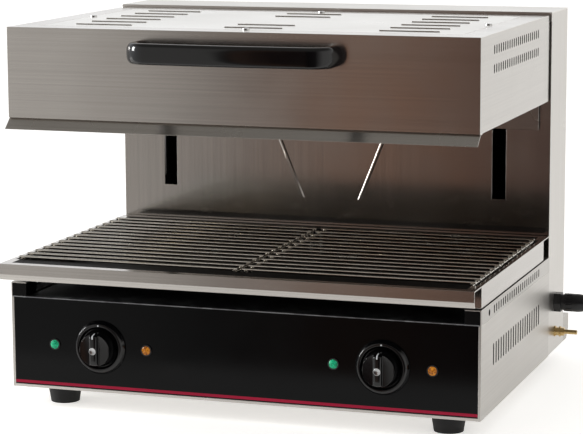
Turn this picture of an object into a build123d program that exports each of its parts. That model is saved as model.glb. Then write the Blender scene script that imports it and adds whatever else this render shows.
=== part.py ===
from build123d import *
import os
from math import atan, cos, sqrt

os.makedirs("parts", exist_ok=True)

# A counter-top grill with a lifting, open-bottomed hood of electric elements over a rack and
# a pull-out tray. The hood rides on two guide rods in a rear column and is balanced by a
# weight on two ropes.
#
# Frame while modelling, in mm: X across, 0 in the middle of the body; Y from the front
# panel's face towards the back; Z up from the table. place() moves every piece to the
# finished frame, whose origin is the middle of the whole outline on the table.

# ---- driving sizes: sheet and body
sheet = 1.2                  # stainless sheet of the body
body_width = 600.0
base_depth = 366.0           # from the front panel's face to the column
foot_height = 25.0
box_height = 114.0           # control box, without the feet
rail_height = 18.5           # air gap between control box and tray
seam = 0.3                   # gap between neighbouring sheets that only meet
column_inset = 1.0           # the column is this much narrower on each side
column_depth = 96.0
column_headroom = 7.5        # column's top above the guide rods

# ---- driving sizes: hood
hood_width = 594.0
hood_front = -2.0            # Y of the hood's front face
hood_height = 111.0
hood_bottom = 363.0          # Z of the hood's lower edge when raised
hood_gap = 4.5               # between the hood's back and the column
hood_travel = 135.0
hood_rim = 30.0              # border of the hood's top round the louvred cover
hood_flange = 12.0           # turned-in lower edge
cover_ledge = 10.0           # ledge that carries the louvred cover
cover_gap = 1.0              # visible line round the cover
lip_drop = 13.0              # front lip: how far it hangs below the hood
lip_flare = 12.0             # and how far it leans forward
lip_tab = 8.0                # flat part of the lip under the hood's edge
lip_setback = 3.0            # its bend behind the hood's front face
shield_drop = 38.0           # rear shield below the hood
shield_inset = 13.0
shield_arm_gap = 1.0         # between the shield's upper edge and the lift arms

# ---- driving sizes: tray and racks
tray_wall_height = 26.0
tray_foot = 2.5              # raised bottom rib on which the tray slides
tray_foot_inset = 20.0
tray_depth = 329.0
tray_lip_reach = 34.0
tray_lip_height = 20.0
tray_hem_height = 7.0
tray_hem_lean = 2.5
tray_side_rim = 6.0
tray_rear_rim = 33.0
rack_wire = 3.6
rack_rail = 5.0
rack_leg = 4.2
rack_leg_inset = 6.0         # from the raised bottom's edge
rack_wire_count = 14
rack_first_wire = 7.0        # from the tray's front wall
rack_last_wire = 15.0        # from the tray's rear wall
rack_side_gap = 8.0          # from the wires' ends to the tray's wall
rack_middle_gap = 6.0        # between the two racks
rack_wire_overhang = 1.5
weld_sink = 0.6              # how far welded wires run into each other

# ---- driving sizes: controls
knob_spacing = 362.0         # between the two knobs
knob_height = 57.0           # knob axis above the underside of the base
lamp_offset = 61.0           # lamps on both sides of each knob
bezel_radius = 33.5
bezel_depth = 7.0
bezel_inner_radius = 25.0
bezel_hole_radius = 12.0
bezel_outer_lean = 4.0       # slope of the ring's outer wall
bezel_inner_lean = 1.5       # and of its inner wall
grip_radius = 23.0
grip_tip_radius = 19.5
grip_length = 17.0
grip_gap = 1.5               # between grip and bezel plate
grip_bar_width = 11.0
grip_bar_rise = 5.0
grip_bar_inset = 1.0         # bar's ends inside the grip's tip
grip_bar_fillet = 2.0
grip_skirt = 3.0             # straight part at the grip's foot
bezel_plate = 1.6
shaft_radius = 3.0
shaft_clearance = 0.05
shaft_seat = 16.0            # how deep the shaft runs in the thermostat
shaft_reach = 14.0           # how far the shaft stands out of the panel
thermostat_size = 36.0
thermostat_length = 30.0
thermostat_neck_radius = 7.0
thermostat_neck_length = 6.0
thermostat_gap = 0.3         # between the thermostat's neck and its hole in the panel
thermostat_shoulder = 3.0    # wider part of the neck behind the panel
lamp_lens_radius = 5.5
lamp_bezel_radius = 7.0
lamp_bezel_depth = 1.6
lamp_lens_rise = 2.2
lamp_body_radius = 6.0
lamp_body_length = 26.0
lamp_back = 4.0              # closed end of the lamp's body
lamp_stem = 8.0              # lens inside the body

# ---- driving sizes: slots
side_slot_width = 5.0
side_slot_count = 20
side_slot_height = 27.0
side_slot_rise = 68.0        # middle of the slots above the underside of the base
side_slot_pitch = 12.8
rail_slot_count = 22
rail_slot_height = 10.5
rail_slot_width = 4.4
rail_slot_pitch = 11.4
rail_hole_front = 39.0       # oval hole near the front of the tray rail
rail_hole_width = 7.5
rail_hole_height = 8.0
hood_slot_count = 22
hood_slot_width = 4.6
hood_slot_height = 11.0
hood_slot_pitch = 11.0
hood_slot_rows = (69.5, 92.0)    # above the hood's lower edge
louvre_length = 74.0
louvre_width = 4.0
louvre_rise = 1.3
louvre_flap = 5.0
louvre_flap_sheet = 0.8
louvre_pitch = 47.0
louvre_rows = 6
louvre_middle_rows = 2       # front and back rows that the middle group has
louvre_column_offset = 195.0

# ---- driving sizes: column and lift
arm_spacing = 462.0          # between the two lift slots
slot_width = 18.5
slot_play_below = 9.0        # lift slots beyond the arms' lowest place
slot_play_above = 11.0       # and beyond their highest
bead_top_offset = 104.0      # two pressed beads that spread upwards
bead_bottom_offset = 40.0
bead_bottom = 222.0
bead_top = 380.0
bead_width = 5.0
bead_depth = 1.4
bead_slope = 0.9             # share of the bead's depth that slopes
column_flange = 14.0
cap_flange = 12.0
rear_cover_inset = 1.5
rear_slot_count = 18
rear_slot_pitch = 20.0
rear_slot_height = 40.0
rear_slot_width = 5.0
rear_slot_drop = 97.5        # middle of the slots below the column's top
rear_screw_drop = 25.0       # top screws below the column's top
rear_screw_rise = 20.0       # bottom screws above the spacer
spacer_depth = 35.0
spacer_height = 33.0
spacer_chamfer = 13.0
rod_radius = 6.0
rod_spacing = 510.0
rod_setback = 38.0           # rod axis behind the column's front face
rod_rise = 20.0              # rods' lower end above the underside of the base
rod_end_gap = 5.0            # between the arms and the upper rod brackets
rod_bracket = 30.0
rod_bracket_height = 12.0
rod_clearance = 0.05
bush_size = 24.0
bush_height = 22.0
arm_width = 12.0
arm_height = 78.0
arm_rise = 12.0              # arms' lower edge above the hood's
arm_plate = 40.0
arm_plate_thickness = 3.0
carriage_thickness = 3.0
carriage_setback = 22.0      # carriage plate's front face behind the column's front face
carriage_width = 540.0
rope_radius = 1.5
rope_spacing = 300.0
pulley_pitch_radius = 14.0
pulley_outer_radius = 17.0
pulley_width = 10.0
pulley_setback = 58.0        # pulley axis behind the column's front face
pulley_drop = 31.5           # pulley axis below the column's top
pulley_flank = 1.2           # slope of the groove's walls
pulley_axle_radius = 4.0
pulley_side_gap = 0.5
bracket_thickness = 3.0
bracket_length = 26.0
axle_head = 2.0
axle_head_radius = 6.0
rope_groove_gap = 0.2
tab_width = 20.0
tab_rise = 17.0              # rope tabs above the arms' lower edge
tab_overhang = 10.0
ferrule_radius = 3.5
ferrule_length = 10.0
weight_width = 370.0
weight_thickness = 24.0
weight_height = 165.0
weight_rise = 35.0           # above the underside of the base, hood raised
weight_chamfer = 2.0
weight_guide_gap = 0.6
weight_guide_leg = 12.0
weight_guide_sheet = 1.5
weight_guide_lug = 12.0      # block that holds a guide off the rear cover
weight_guide_run = 10.0      # guide beyond the weight at both ends of its travel
stop_height = 15.0
stop_radius = 11.0
stop_gap = 0.5               # left between bush and stop when the hood is right down

# ---- driving sizes: heat
reflector_sheet = 1.0
reflector_height = 32.0
reflector_gap = 5.0          # from the hood's walls to the reflector
element_radius = 4.0
element_drop = 15.0          # element axis below the reflector's roof
element_rows = 4
element_row_pitch = 68.0
element_first_row = 78.0     # Y of the front row
element_inner = 34.0         # X of the ends
element_outer = 262.0        # X of the outer bends
element_terminal_rise = 44.0
element_bend_radius = 8.0
element_bend_ease = 0.01     # left straight between two touching bends
bracket_positions = (104.0, 208.0)
bracket_strip = 1.5
bracket_strip_drop = 8.0     # strip below the element's axis
bracket_hole_gap = 0.3
bracket_overhang = 20.0      # strip beyond the outer rows
bushing_radius = 8.0
bushing_height = 14.0
bushing_gap = 0.1
mat_thickness = 25.0
mat_inset = 18.0
mat_bushing_gap = 2.0

# ---- driving sizes: small parts
foot_radius = 22.0
foot_tip_radius = 18.0
foot_inset = 50.0            # foot axis from the body's side
foot_setback = 45.0          # foot axis from the front and from the column's back
foot_recess_radius = 8.0
foot_recess = 12.0
foot_screw_radius = 3.0
foot_screw_head_radius = 6.0
foot_screw_head = 3.0
foot_screw_tail = 8.0
screw_head_radius = 4.5
screw_head = 2.0
screw_radius = 2.0
screw_length = 8.0
handle_reach = 34.0          # bar's centre line in front of the hood
handle_bow = 6.0
handle_length = 249.0        # between the bar's two ends, centre to centre
handle_height = 25.5
handle_thickness = 17.0
handle_rounding = 7.5
handle_end_rounding = 11.0   # of the bar's two ends, seen from the front
handle_level = 85.5          # above the hood's lower edge
handle_bend = 26.0
handle_bow_radius = 800.0
gland_level = 90.0
gland_setback = 44.0         # gland and stud axis behind the column's front face
gland_across_flats = 24.0
gland_hex_length = 9.0
gland_thread_radius = 10.0
gland_thread_length = 8.0
gland_neck_radius = 10.5
gland_neck_length = 4.0
gland_nut_length = 14.0
gland_tip_length = 19.0       # rounded end of the dome nut
gland_tip_radius = 7.5
gland_bore_radius = 6.0
gland_tip_bulge = 1.6         # how far the rounded end stands over a plain cone
gland_groove_count = 12
gland_groove_radius = 1.2
gland_groove_inset = 3.0
stud_level = 50.0
stud_radius = 3.0
stud_length = 30.0
stud_tail = 8.0
stud_nut_flats = 10.0
stud_nut_height = 5.0
stud_washer_radius = 7.0
stud_washer = 1.5
terminal_width = 60.0
terminal_depth = 22.0
terminal_height = 18.0
terminal_inset = 110.0       # from the body's side
terminal_setback = 60.0      # from the column
terminal_pitch = 20.0
terminal_well_radius = 3.0
post_width = 20.0
post_depth = 30.0
panel_sheet = 1.5
panel_flange = 18.0
panel_side = 3.2             # stainless corner strip beside the black panel
floor_lip = 3.5
floor_turn_up = 12.0

# ---- places worked out from the driving sizes
half_width = body_width / 2
base_z = foot_height
deck_z = base_z + box_height
rail_top = deck_z + rail_height
tray_floor = rail_top + tray_foot
tray_top = tray_floor + tray_wall_height
column_front = base_depth
column_back = column_front + column_depth
column_half = half_width - column_inset
hood_half = hood_width / 2
hood_back = column_front - hood_gap
hood_top = hood_bottom + hood_height
arm_bottom = hood_bottom + arm_rise
arm_top = arm_bottom + arm_height
slot_bottom = arm_bottom - hood_travel - slot_play_below
slot_top = arm_top + slot_play_above
rod_bottom = base_z + rod_rise
rod_top = arm_top + rod_end_gap + rod_bracket_height
column_top_z = rod_top + column_headroom
pulley_level = column_top_z - pulley_drop
tab_level = arm_bottom + tab_rise
weight_bottom = base_z + weight_rise
knob_z = base_z + knob_height
knob_x = knob_spacing / 2
arm_x = arm_spacing / 2
rod_x = rod_spacing / 2
rod_y = column_front + rod_setback
rope_x = rope_spacing / 2
pulley_y = column_front + pulley_setback
panel_half = half_width - panel_side
box_middle = base_depth / 2
reflector_roof = hood_bottom + sheet + reflector_height
element_z = reflector_roof - element_drop
gland_y = column_front + gland_setback
gland_reach = gland_hex_length + gland_neck_length + gland_nut_length + gland_tip_length
handle_slope = atan(handle_bow / (handle_length / 2))
handle_ease = handle_bow_radius * (1 / cos(handle_slope) - 1)    # rounding of the bow's middle
handle_front = (hood_front - handle_reach - handle_bow + handle_ease - handle_thickness / 2)


# ---- helpers
def block(x, y, z):
    """A box between the (low, high) limits on each axis."""
    limits = (x, y, z)
    size = [high - low for low, high in limits]
    middle = [(high + low) / 2 for low, high in limits]
    return Pos(*middle) * Box(*size)


def flipped(piece):
    """The piece's mirror image across the body's middle plane."""
    return mirror(piece, about=Plane.YZ)


def rod_z(x, y, z, radius):
    """An upright round bar between the two heights in z."""
    return Pos(x, y, (z[0] + z[1]) / 2) * Cylinder(radius, z[1] - z[0])


def rod_x_axis(x, y, z, radius):
    """A round bar along X between the two places in x."""
    return Pos((x[0] + x[1]) / 2, y, z) * Rot(Y=90) * Cylinder(radius, x[1] - x[0])


def rod_y_axis(x, y, z, radius):
    """A round bar along Y between the two places in y."""
    return Pos(x, (y[0] + y[1]) / 2, z) * Rot(X=90) * Cylinder(radius, y[1] - y[0])


def side_plate(x, y, z, slots=()):
    """An upright sheet facing X, with upright round-ended slots given as (y, z, width, height)."""
    outline = Pos((y[0] + y[1]) / 2, (z[0] + z[1]) / 2) * Rectangle(y[1] - y[0], z[1] - z[0])
    holes = [
        Pos(slot_y, slot_z) * Rot(Z=90) * SlotOverall(height, width)
        for slot_y, slot_z, width, height in slots
    ]
    if holes:
        outline = outline - holes
    return Plane.YZ.offset(x[0]) * extrude(outline, x[1] - x[0])


def slot_row(middle, level, count, pitch, width, height):
    """Slots for side_plate, evenly spaced along Y about the middle."""
    first = middle - pitch * (count - 1) / 2
    return [(first + pitch * i, level, width, height) for i in range(count)]


def place(pieces):
    """The node's solids, moved to the finished frame."""
    outline_x = (-half_width, column_half + gland_reach)
    outline_y = (handle_front, column_back + spacer_depth)
    shift = Pos(-sum(outline_x) / 2, -sum(outline_y) / 2, 0)
    solids = [shift * solid for piece in pieces for solid in piece.solids()]
    return solids[0] if len(solids) == 1 else Compound(children=solids)


# ---- base: floor, sides, deck, rails
def base_floor():
    """Floor of box and column, turned up at its edges; the front edge shows as a bright line."""
    inner = half_width - sheet
    z = (base_z, base_z + sheet)
    floor = block((-inner, inner), (sheet, base_depth), z)
    tail = block((-column_half + sheet, column_half - sheet),
                 (base_depth, column_back - 2 * sheet), z)
    front = block((-panel_half, panel_half), (0, sheet), (base_z, base_z + floor_lip))
    wall = block((inner - sheet, inner), (panel_sheet, base_depth), (base_z, base_z + floor_turn_up))
    holes = [rod_z(x, y, z, foot_screw_radius) for x, y in feet_places()]
    return floor + tail + front + wall + flipped(wall) - holes


def side_panel():
    """Right side of the control box, with a strip at the front and a ledge for the deck."""
    z = (base_z, deck_z - seam)
    slots = slot_row(box_middle, base_z + side_slot_rise, side_slot_count, side_slot_pitch,
                     side_slot_width, side_slot_height)
    plate = side_plate((half_width - sheet, half_width), (0, base_depth), z, slots)
    strip = block((panel_half, half_width), (0, sheet), z)
    ledge = block((half_width - cover_ledge, half_width), (panel_sheet + seam, base_depth),
                  (deck_z - seam - sheet, deck_z - seam))
    return plate + strip + ledge


def control_panel():
    """Black front panel, folded back along its top and bottom."""
    z = (base_z + floor_lip + seam, deck_z - seam)
    x = (-panel_half + seam, panel_half - seam)
    face = block(x, (0, panel_sheet), z)
    inner_x = (-half_width + cover_ledge + seam, half_width - cover_ledge - seam)
    top = block(inner_x, (0, panel_flange), (z[1] - panel_sheet, z[1]))
    bottom = block(inner_x, (0, panel_flange), (z[0], z[0] + panel_sheet))
    holes = []
    for side in (-1, 1):
        holes.append(rod_y_axis(side * knob_x, (0, panel_sheet), knob_z, thermostat_neck_radius))
        for lamp in (-lamp_offset, lamp_offset):
            holes.append(rod_y_axis(side * knob_x + lamp, (0, panel_sheet), knob_z,
                                    lamp_body_radius))
    return face + top + bottom - holes


def deck_plate():
    """Plate that closes the control box and shields it from the tray above."""
    inner = half_width - sheet
    return block((-inner, inner), (0, base_depth), (deck_z - seam, deck_z - seam + sheet))


def tray_rail():
    """Right rail on the deck, with small slots and an inward top flange under the tray."""
    z = (deck_z, rail_top)
    middle_z = (deck_z + rail_top - sheet) / 2
    slots = slot_row(box_middle, middle_z, rail_slot_count, rail_slot_pitch,
                     rail_slot_width, rail_slot_height)
    slots.append((rail_hole_front, middle_z, rail_hole_width, rail_hole_height))
    plate = side_plate((half_width - sheet, half_width), (0, base_depth), z, slots)
    inner = half_width - post_width
    top = block((inner, half_width), (0, base_depth), (rail_top - sheet, rail_top))
    foot_z = deck_z - seam + sheet
    foot = block((inner, half_width), (post_depth, base_depth), (foot_z, foot_z + sheet))
    return plate + top + foot


def front_post():
    """Right black corner piece at the mouth of the air gap."""
    outer = half_width - sheet
    inner = half_width - post_width
    z = (deck_z - seam + sheet, rail_top - sheet)
    front = block((inner, outer), (0, sheet), z)
    side = block((inner, inner + sheet), (0, post_depth), z)
    return front + side


# ---- feet
def feet_places():
    """Axis of each foot, as (x, y)."""
    x = half_width - foot_inset
    return [(side * x, y) for side in (-1, 1) for y in (foot_setback, column_back - foot_setback)]


def rubber_foot(x, y):
    """Tapered rubber foot, hollow under its screw."""
    z = foot_height / 2
    body = Pos(x, y, z) * Cone(foot_tip_radius, foot_radius, foot_height)
    recess = rod_z(x, y, (0, foot_recess), foot_recess_radius)
    hole = rod_z(x, y, (0, foot_height), foot_screw_radius)
    return body - recess - hole


def foot_screw(x, y):
    """Screw that holds a foot to the floor, with its nut above."""
    shank = rod_z(x, y, (foot_recess, base_z + foot_screw_tail), foot_screw_radius)
    head = rod_z(x, y, (foot_recess - foot_screw_head, foot_recess), foot_screw_head_radius)
    nut_z = (base_z + sheet, base_z + sheet + foot_screw_head)
    nut = rod_z(x, y, nut_z, foot_screw_head_radius)
    return shank + head + nut


# ---- controls
def thermostat(side):
    """Thermostat body behind the panel, with a bored neck that the shaft turns in."""
    x = side * knob_x
    half = thermostat_size / 2
    front = panel_sheet + thermostat_neck_length
    body = block((x - half, x + half), (front, front + thermostat_length),
                 (knob_z - half, knob_z + half))
    neck_radius = thermostat_neck_radius - thermostat_gap
    neck = rod_y_axis(x, (0, front), knob_z, neck_radius)
    seat = rod_y_axis(x, (panel_sheet, front), knob_z, neck_radius + thermostat_shoulder)
    bore = rod_y_axis(x, (0, front + shaft_seat), knob_z, shaft_radius + shaft_clearance)
    return body + neck + seat - bore


def knob_shaft(side):
    """Round shaft from the thermostat into the knob."""
    deep = panel_sheet + thermostat_neck_length + shaft_seat - seam
    return rod_y_axis(side * knob_x, (-shaft_reach, deep), knob_z, shaft_radius)


def knob_bezel(side):
    """Dished ring fixed on the panel round the knob."""
    x = side * knob_x
    profile = Polyline(
        (bezel_hole_radius, 0),
        (bezel_radius, 0),
        (bezel_radius, -bezel_plate),
        (bezel_radius - bezel_outer_lean, -bezel_depth),
        (bezel_inner_radius + bezel_inner_lean, -bezel_depth),
        (bezel_inner_radius, -bezel_plate),
        (bezel_hole_radius, -bezel_plate),
        close=True,
    )
    ring = revolve(Plane.XY * make_face(profile), Axis.Y)
    return Pos(x, 0, knob_z) * ring


def knob_grip(side):
    """Knob with a raised finger bar and a hole for the shaft."""
    x = side * knob_x
    back = -(bezel_plate + grip_gap)
    front = back - grip_length
    profile = Polyline(
        (0, back),
        (grip_radius, back),
        (grip_radius, back - grip_skirt),
        (grip_tip_radius, front),
        (0, front),
        close=True,
    )
    body = revolve(Plane.XY * make_face(profile), Axis.Y)
    body = Pos(x, 0, knob_z) * body
    bar_half = grip_tip_radius - grip_bar_inset
    bar = block((x - grip_bar_width / 2, x + grip_bar_width / 2),
                (front - grip_bar_rise, front), (knob_z - bar_half, knob_z + bar_half))
    bar = fillet(bar.edges().group_by(Axis.Y)[0], grip_bar_fillet)
    bore = rod_y_axis(x, (-shaft_reach, back), knob_z, shaft_radius)
    return body + bar - bore


def lamp_places(offset):
    """X of the lamp that stands this far beside each knob."""
    return [side * knob_x + offset for side in (-1, 1)]


def lamp_housing(x):
    """Pilot lamp: a ring on the panel and a body behind it, hollow for the lens."""
    ring = rod_y_axis(x, (-lamp_bezel_depth, 0), knob_z, lamp_bezel_radius)
    body = rod_y_axis(x, (0, lamp_body_length), knob_z, lamp_body_radius)
    hollow = rod_y_axis(x, (-lamp_bezel_depth, lamp_body_length - lamp_back), knob_z,
                        lamp_lens_radius)
    return ring + body - hollow


def lamp_lens(x):
    """Coloured lens cap with a domed front."""
    stem = rod_y_axis(x, (-lamp_bezel_depth, lamp_stem), knob_z, lamp_lens_radius)
    dome_radius = (lamp_lens_radius ** 2 + lamp_lens_rise ** 2) / (2 * lamp_lens_rise)
    ball = Pos(x, -lamp_bezel_depth - lamp_lens_rise + dome_radius, knob_z) * Sphere(dome_radius)
    keep = rod_y_axis(x, (-lamp_bezel_depth - lamp_lens_rise, -lamp_bezel_depth), knob_z,
                      lamp_lens_radius)
    return stem + (ball & keep)


def terminal_block():
    """Screw terminal strip on the floor of the control box, near the cable entry."""
    x = half_width - terminal_inset
    y = base_depth - terminal_setback
    z = base_z + sheet
    top = z + terminal_height
    body = block((x - terminal_width / 2, x + terminal_width / 2),
                 (y - terminal_depth / 2, y + terminal_depth / 2), (z, top))
    wells = [rod_z(x + terminal_pitch * i, y, (z + terminal_height / 2, top),
                   terminal_well_radius) for i in (-1, 0, 1)]
    return body - wells


# ---- tray and racks
def grill_tray():
    """Folded tray: a dish with narrow side rims, a wide rear rim and a deep front lip."""
    outer_x = (-half_width, half_width)
    inner_x = (-half_width + sheet, half_width - sheet)
    inner_y = (sheet, tray_depth - sheet)
    dish = block(outer_x, (0, tray_depth), (tray_floor, tray_top))
    dish -= block(inner_x, inner_y, (tray_floor, tray_top))
    foot_x = half_width - tray_foot_inset
    foot = block((-foot_x, foot_x), (tray_foot_inset, tray_depth - tray_foot_inset),
                 (rail_top, tray_floor + sheet))
    foot -= block((-foot_x + sheet, foot_x - sheet),
                  (tray_foot_inset + sheet, tray_depth - tray_foot_inset - sheet),
                  (rail_top + sheet, tray_floor + sheet))
    ledge = block(outer_x, (0, tray_depth), (tray_floor, tray_floor + sheet))
    ledge -= block((-foot_x + sheet, foot_x - sheet),
                   (tray_foot_inset + sheet, tray_depth - tray_foot_inset - sheet),
                   (tray_floor, tray_floor + sheet))
    rim_z = (tray_top - sheet, tray_top)
    side_rim = block((half_width - tray_side_rim, half_width), (0, tray_depth), rim_z)
    rear_rim = block(outer_x, (tray_depth - sheet, tray_depth + tray_rear_rim), rim_z)
    front_rim = block(outer_x, (-tray_lip_reach, sheet), rim_z)
    lip_bottom = tray_top - tray_lip_height + tray_hem_height
    face = block(outer_x, (-tray_lip_reach, -tray_lip_reach + sheet), (lip_bottom, tray_top))
    hem_profile = Polyline(
        (-tray_lip_reach, lip_bottom),
        (-tray_lip_reach + sheet, lip_bottom),
        (-tray_lip_reach + tray_hem_lean + sheet, lip_bottom - tray_hem_height),
        (-tray_lip_reach + tray_hem_lean, lip_bottom - tray_hem_height),
        close=True,
    )
    hem = Plane.YZ.offset(-half_width) * extrude(make_face(hem_profile), body_width)
    return dish + foot + ledge + side_rim + flipped(side_rim) + rear_rim + front_rim + face + hem


def rack():
    """Right wire rack: wires across, welded on two rails with legs that stand in the tray."""
    x = (rack_middle_gap / 2, half_width - sheet - rack_side_gap)
    rails = (x[0] + rack_wire_overhang + rack_rail / 2, x[1] - rack_wire_overhang - rack_rail / 2)
    rail_z = tray_top + rack_wire / 2 - weld_sink - rack_rail / 2
    wire_z = rail_z + rack_rail / 2 + rack_wire / 2 - weld_sink
    first = rack_first_wire
    last = tray_depth - rack_last_wire
    pitch = (last - first) / (rack_wire_count - 1)
    pieces = []
    leg_y = (tray_foot_inset + rack_leg_inset, tray_depth - tray_foot_inset - rack_leg_inset)
    leg_feet = (rail_top + sheet, tray_floor + sheet)
    for rail, foot in zip(rails, leg_feet):
        pieces.append(rod_y_axis(rail, (first - rack_wire, last + rack_wire), rail_z,
                                 rack_rail / 2))
        pieces += [rod_z(rail, y, (foot, rail_z), rack_leg / 2) for y in leg_y]
    for i in range(rack_wire_count):
        pieces.append(rod_x_axis(x, first + pitch * i, wire_z, rack_wire / 2))
    whole = pieces[0]
    return whole.fuse(*pieces[1:])


# ---- hood
def hood_shell():
    """Hood body: four walls, a turned-in lower edge and a border round the top opening."""
    x = (-hood_half, hood_half)
    y = (hood_front, hood_back)
    z = (hood_bottom, hood_top)
    middle = (hood_front + hood_back) / 2
    slots = []
    for row in hood_slot_rows:
        slots += slot_row(middle, hood_bottom + row, hood_slot_count, hood_slot_pitch,
                          hood_slot_width, hood_slot_height)
    side = side_plate((hood_half - sheet, hood_half), y, z, slots)
    front = block(x, (y[0], y[0] + sheet), z)
    rear = block(x, (y[1] - sheet, y[1]), z)
    border = block(x, y, (z[1] - sheet, z[1]))
    border -= block((x[0] + hood_rim, x[1] - hood_rim), (y[0] + hood_rim, y[1] - hood_rim),
                    (z[1] - sheet, z[1]))
    ledge_in = hood_rim + cover_ledge
    ledge = block((x[0] + hood_rim - sheet, x[1] - hood_rim + sheet),
                  (y[0] + hood_rim - sheet, y[1] - hood_rim + sheet),
                  (z[1] - 2 * sheet, z[1] - sheet))
    ledge -= block((x[0] + ledge_in, x[1] - ledge_in), (y[0] + ledge_in, y[1] - ledge_in),
                   (z[1] - 2 * sheet, z[1] - sheet))
    edge = block(x, y, (z[0], z[0] + sheet))
    edge -= block((x[0] + hood_flange, x[1] - hood_flange),
                  (y[0] + hood_flange, y[1] - hood_flange), (z[0], z[0] + sheet))
    holes = [rod_y_axis(x_hole, (y[0], y[0] + sheet), hood_bottom + handle_level, screw_radius)
             for x_hole in handle_ends()]
    holes += [rod_z(x_hole, y_hole, (z[1] - 2 * sheet, z[1] - sheet), screw_radius)
              for x_hole, y_hole in cover_screw_places()]
    return front + rear + side + flipped(side) + border + ledge + edge - holes


def cover_limits():
    """X and Y limits of the louvred cover in the hood's top."""
    x = hood_half - hood_rim - cover_gap
    return (-x, x), (hood_front + hood_rim + cover_gap, hood_back - hood_rim - cover_gap)


def cover_screw_places():
    """One screw in the middle of each edge of the louvred cover, as (x, y)."""
    x, y = cover_limits()
    inset = cover_ledge / 2
    middle_y = (y[0] + y[1]) / 2
    return [(x[0] + inset, middle_y), (x[1] - inset, middle_y), (0, y[0] + inset),
            (0, y[1] - inset)]


def hood_top_cover():
    """Louvred cover: three groups of long slots, each under a raised flap."""
    x, y = cover_limits()
    z = (hood_top - sheet, hood_top)
    middle_y = (y[0] + y[1]) / 2
    sketch = Pos((x[0] + x[1]) / 2, middle_y) * Rectangle(x[1] - x[0], y[1] - y[0])
    places = []
    for row in range(louvre_rows):
        row_y = middle_y + louvre_pitch * (row - (louvre_rows - 1) / 2)
        places += [(-louvre_column_offset, row_y), (louvre_column_offset, row_y)]
        if min(row, louvre_rows - 1 - row) < louvre_middle_rows:
            places.append((0, row_y))
    cuts = [Pos(*spot) * Rectangle(louvre_length, louvre_width) for spot in places]
    cuts += [Pos(*spot) * Circle(screw_radius) for spot in cover_screw_places()]
    plate = Plane.XY.offset(z[0]) * extrude(sketch - cuts, sheet)
    flaps = []
    for spot_x, spot_y in places:
        back = spot_y + louvre_width / 2
        profile = Polyline(
            (back + sheet, z[1]),
            (back, z[0]),
            (back - louvre_flap, z[1] + louvre_rise - louvre_flap_sheet),
            (back - louvre_flap, z[1] + louvre_rise),
            close=True,
        )
        flap = Plane.YZ.offset(spot_x - louvre_length / 2) * extrude(make_face(profile),
                                                                     louvre_length)
        flaps.append(flap)
    return plate.fuse(*flaps)


def hood_lip():
    """Front lip: a strip under the hood's front edge that flares forward and down."""
    start = hood_front + lip_setback
    end = hood_front - lip_flare
    profile = Polyline(
        (start + lip_tab, hood_bottom),
        (start, hood_bottom),
        (end, hood_bottom - lip_drop),
        (end + sheet, hood_bottom - lip_drop),
        (start + sheet / 2, hood_bottom - sheet),
        (start + lip_tab, hood_bottom - sheet),
        close=True,
    )
    return Plane.YZ.offset(-hood_half) * extrude(make_face(profile), hood_width)


def hood_rear_shield():
    """Plate on the hood's back wall that hangs below it."""
    x = hood_half - shield_inset
    return block((-x, x), (hood_back, hood_back + sheet),
                 (hood_bottom - shield_drop, arm_bottom - shield_arm_gap))


def reflector():
    """Polished inner tray, open downwards, that stands on the hood's turned-in edge."""
    x = hood_half - sheet - reflector_gap
    y = (hood_front + sheet + reflector_gap, hood_back - sheet - reflector_gap)
    z = (hood_bottom + sheet, reflector_roof + reflector_sheet)
    shape = block((-x, x), y, z)
    inner_x = x - reflector_sheet
    inner_y = (y[0] + reflector_sheet, y[1] - reflector_sheet)
    shape -= block((-inner_x, inner_x), inner_y, (z[0], reflector_roof))
    roof = (reflector_roof, reflector_roof + reflector_sheet)
    holes = [rod_z(side * element_inner, row, roof, bushing_radius + bushing_gap)
             for side in (-1, 1) for row in terminal_rows()]
    return shape - holes


def terminal_rows():
    """Y of the two rows at which an element turns up through the reflector."""
    return element_first_row, element_first_row + element_row_pitch * (element_rows - 1)


def heating_element():
    """Right tubular element: a flat serpentine whose two ends turn up to their terminals."""
    bend = element_row_pitch / 2
    top = element_z + element_terminal_rise
    corners = [(element_inner, element_first_row, top)]
    for row in range(element_rows):
        y = element_first_row + element_row_pitch * row
        inner = element_inner if row in (0, element_rows - 1) else element_inner + bend
        ends = (inner, element_outer) if row % 2 == 0 else (element_outer, inner)
        corners += [(ends[0], y, element_z), (ends[1], y, element_z)]
    last_y = corners[-1][1]
    corners.append((element_inner, last_y, top))
    turns = [bend - element_bend_ease] * (len(corners) - 4)
    radii = [element_bend_radius] + turns + [element_bend_radius]
    path = FilletPolyline(*corners, radius=radii)
    section = Plane(origin=corners[0], z_dir=(0, 0, -1)) * Circle(element_radius)
    return sweep(section, path=path)


def element_bracket(x):
    """Strip that hangs from the reflector and holds the element's rows in holes."""
    y = (element_first_row - bracket_overhang, terminal_rows()[1] + bracket_overhang)
    strip = block((x, x + bracket_strip), y, (element_z - bracket_strip_drop, reflector_roof))
    for row in range(element_rows):
        spot = element_first_row + element_row_pitch * row
        strip -= rod_x_axis((x, x + bracket_strip), spot, element_z,
                            element_radius + bracket_hole_gap)
    return strip


def element_bushing(x, y):
    """Ceramic bush that carries the element's end through the reflector."""
    z = reflector_roof + reflector_sheet / 2
    body = rod_z(x, y, (z - bushing_height / 2, z + bushing_height / 2), bushing_radius)
    return body - rod_z(x, y, (z - bushing_height, z + bushing_height),
                        element_radius + bushing_gap)


def insulation_mat():
    """Fibre mat on the reflector, with openings for the bushes."""
    x = hood_half - mat_inset
    y = (hood_front + mat_inset, hood_back - mat_inset)
    z = (reflector_roof + reflector_sheet, reflector_roof + reflector_sheet + mat_thickness)
    mat = block((-x, x), y, z)
    holes = [rod_z(side * element_inner, row, z, bushing_radius + mat_bushing_gap)
             for side in (-1, 1) for row in terminal_rows()]
    return mat - holes


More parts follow.
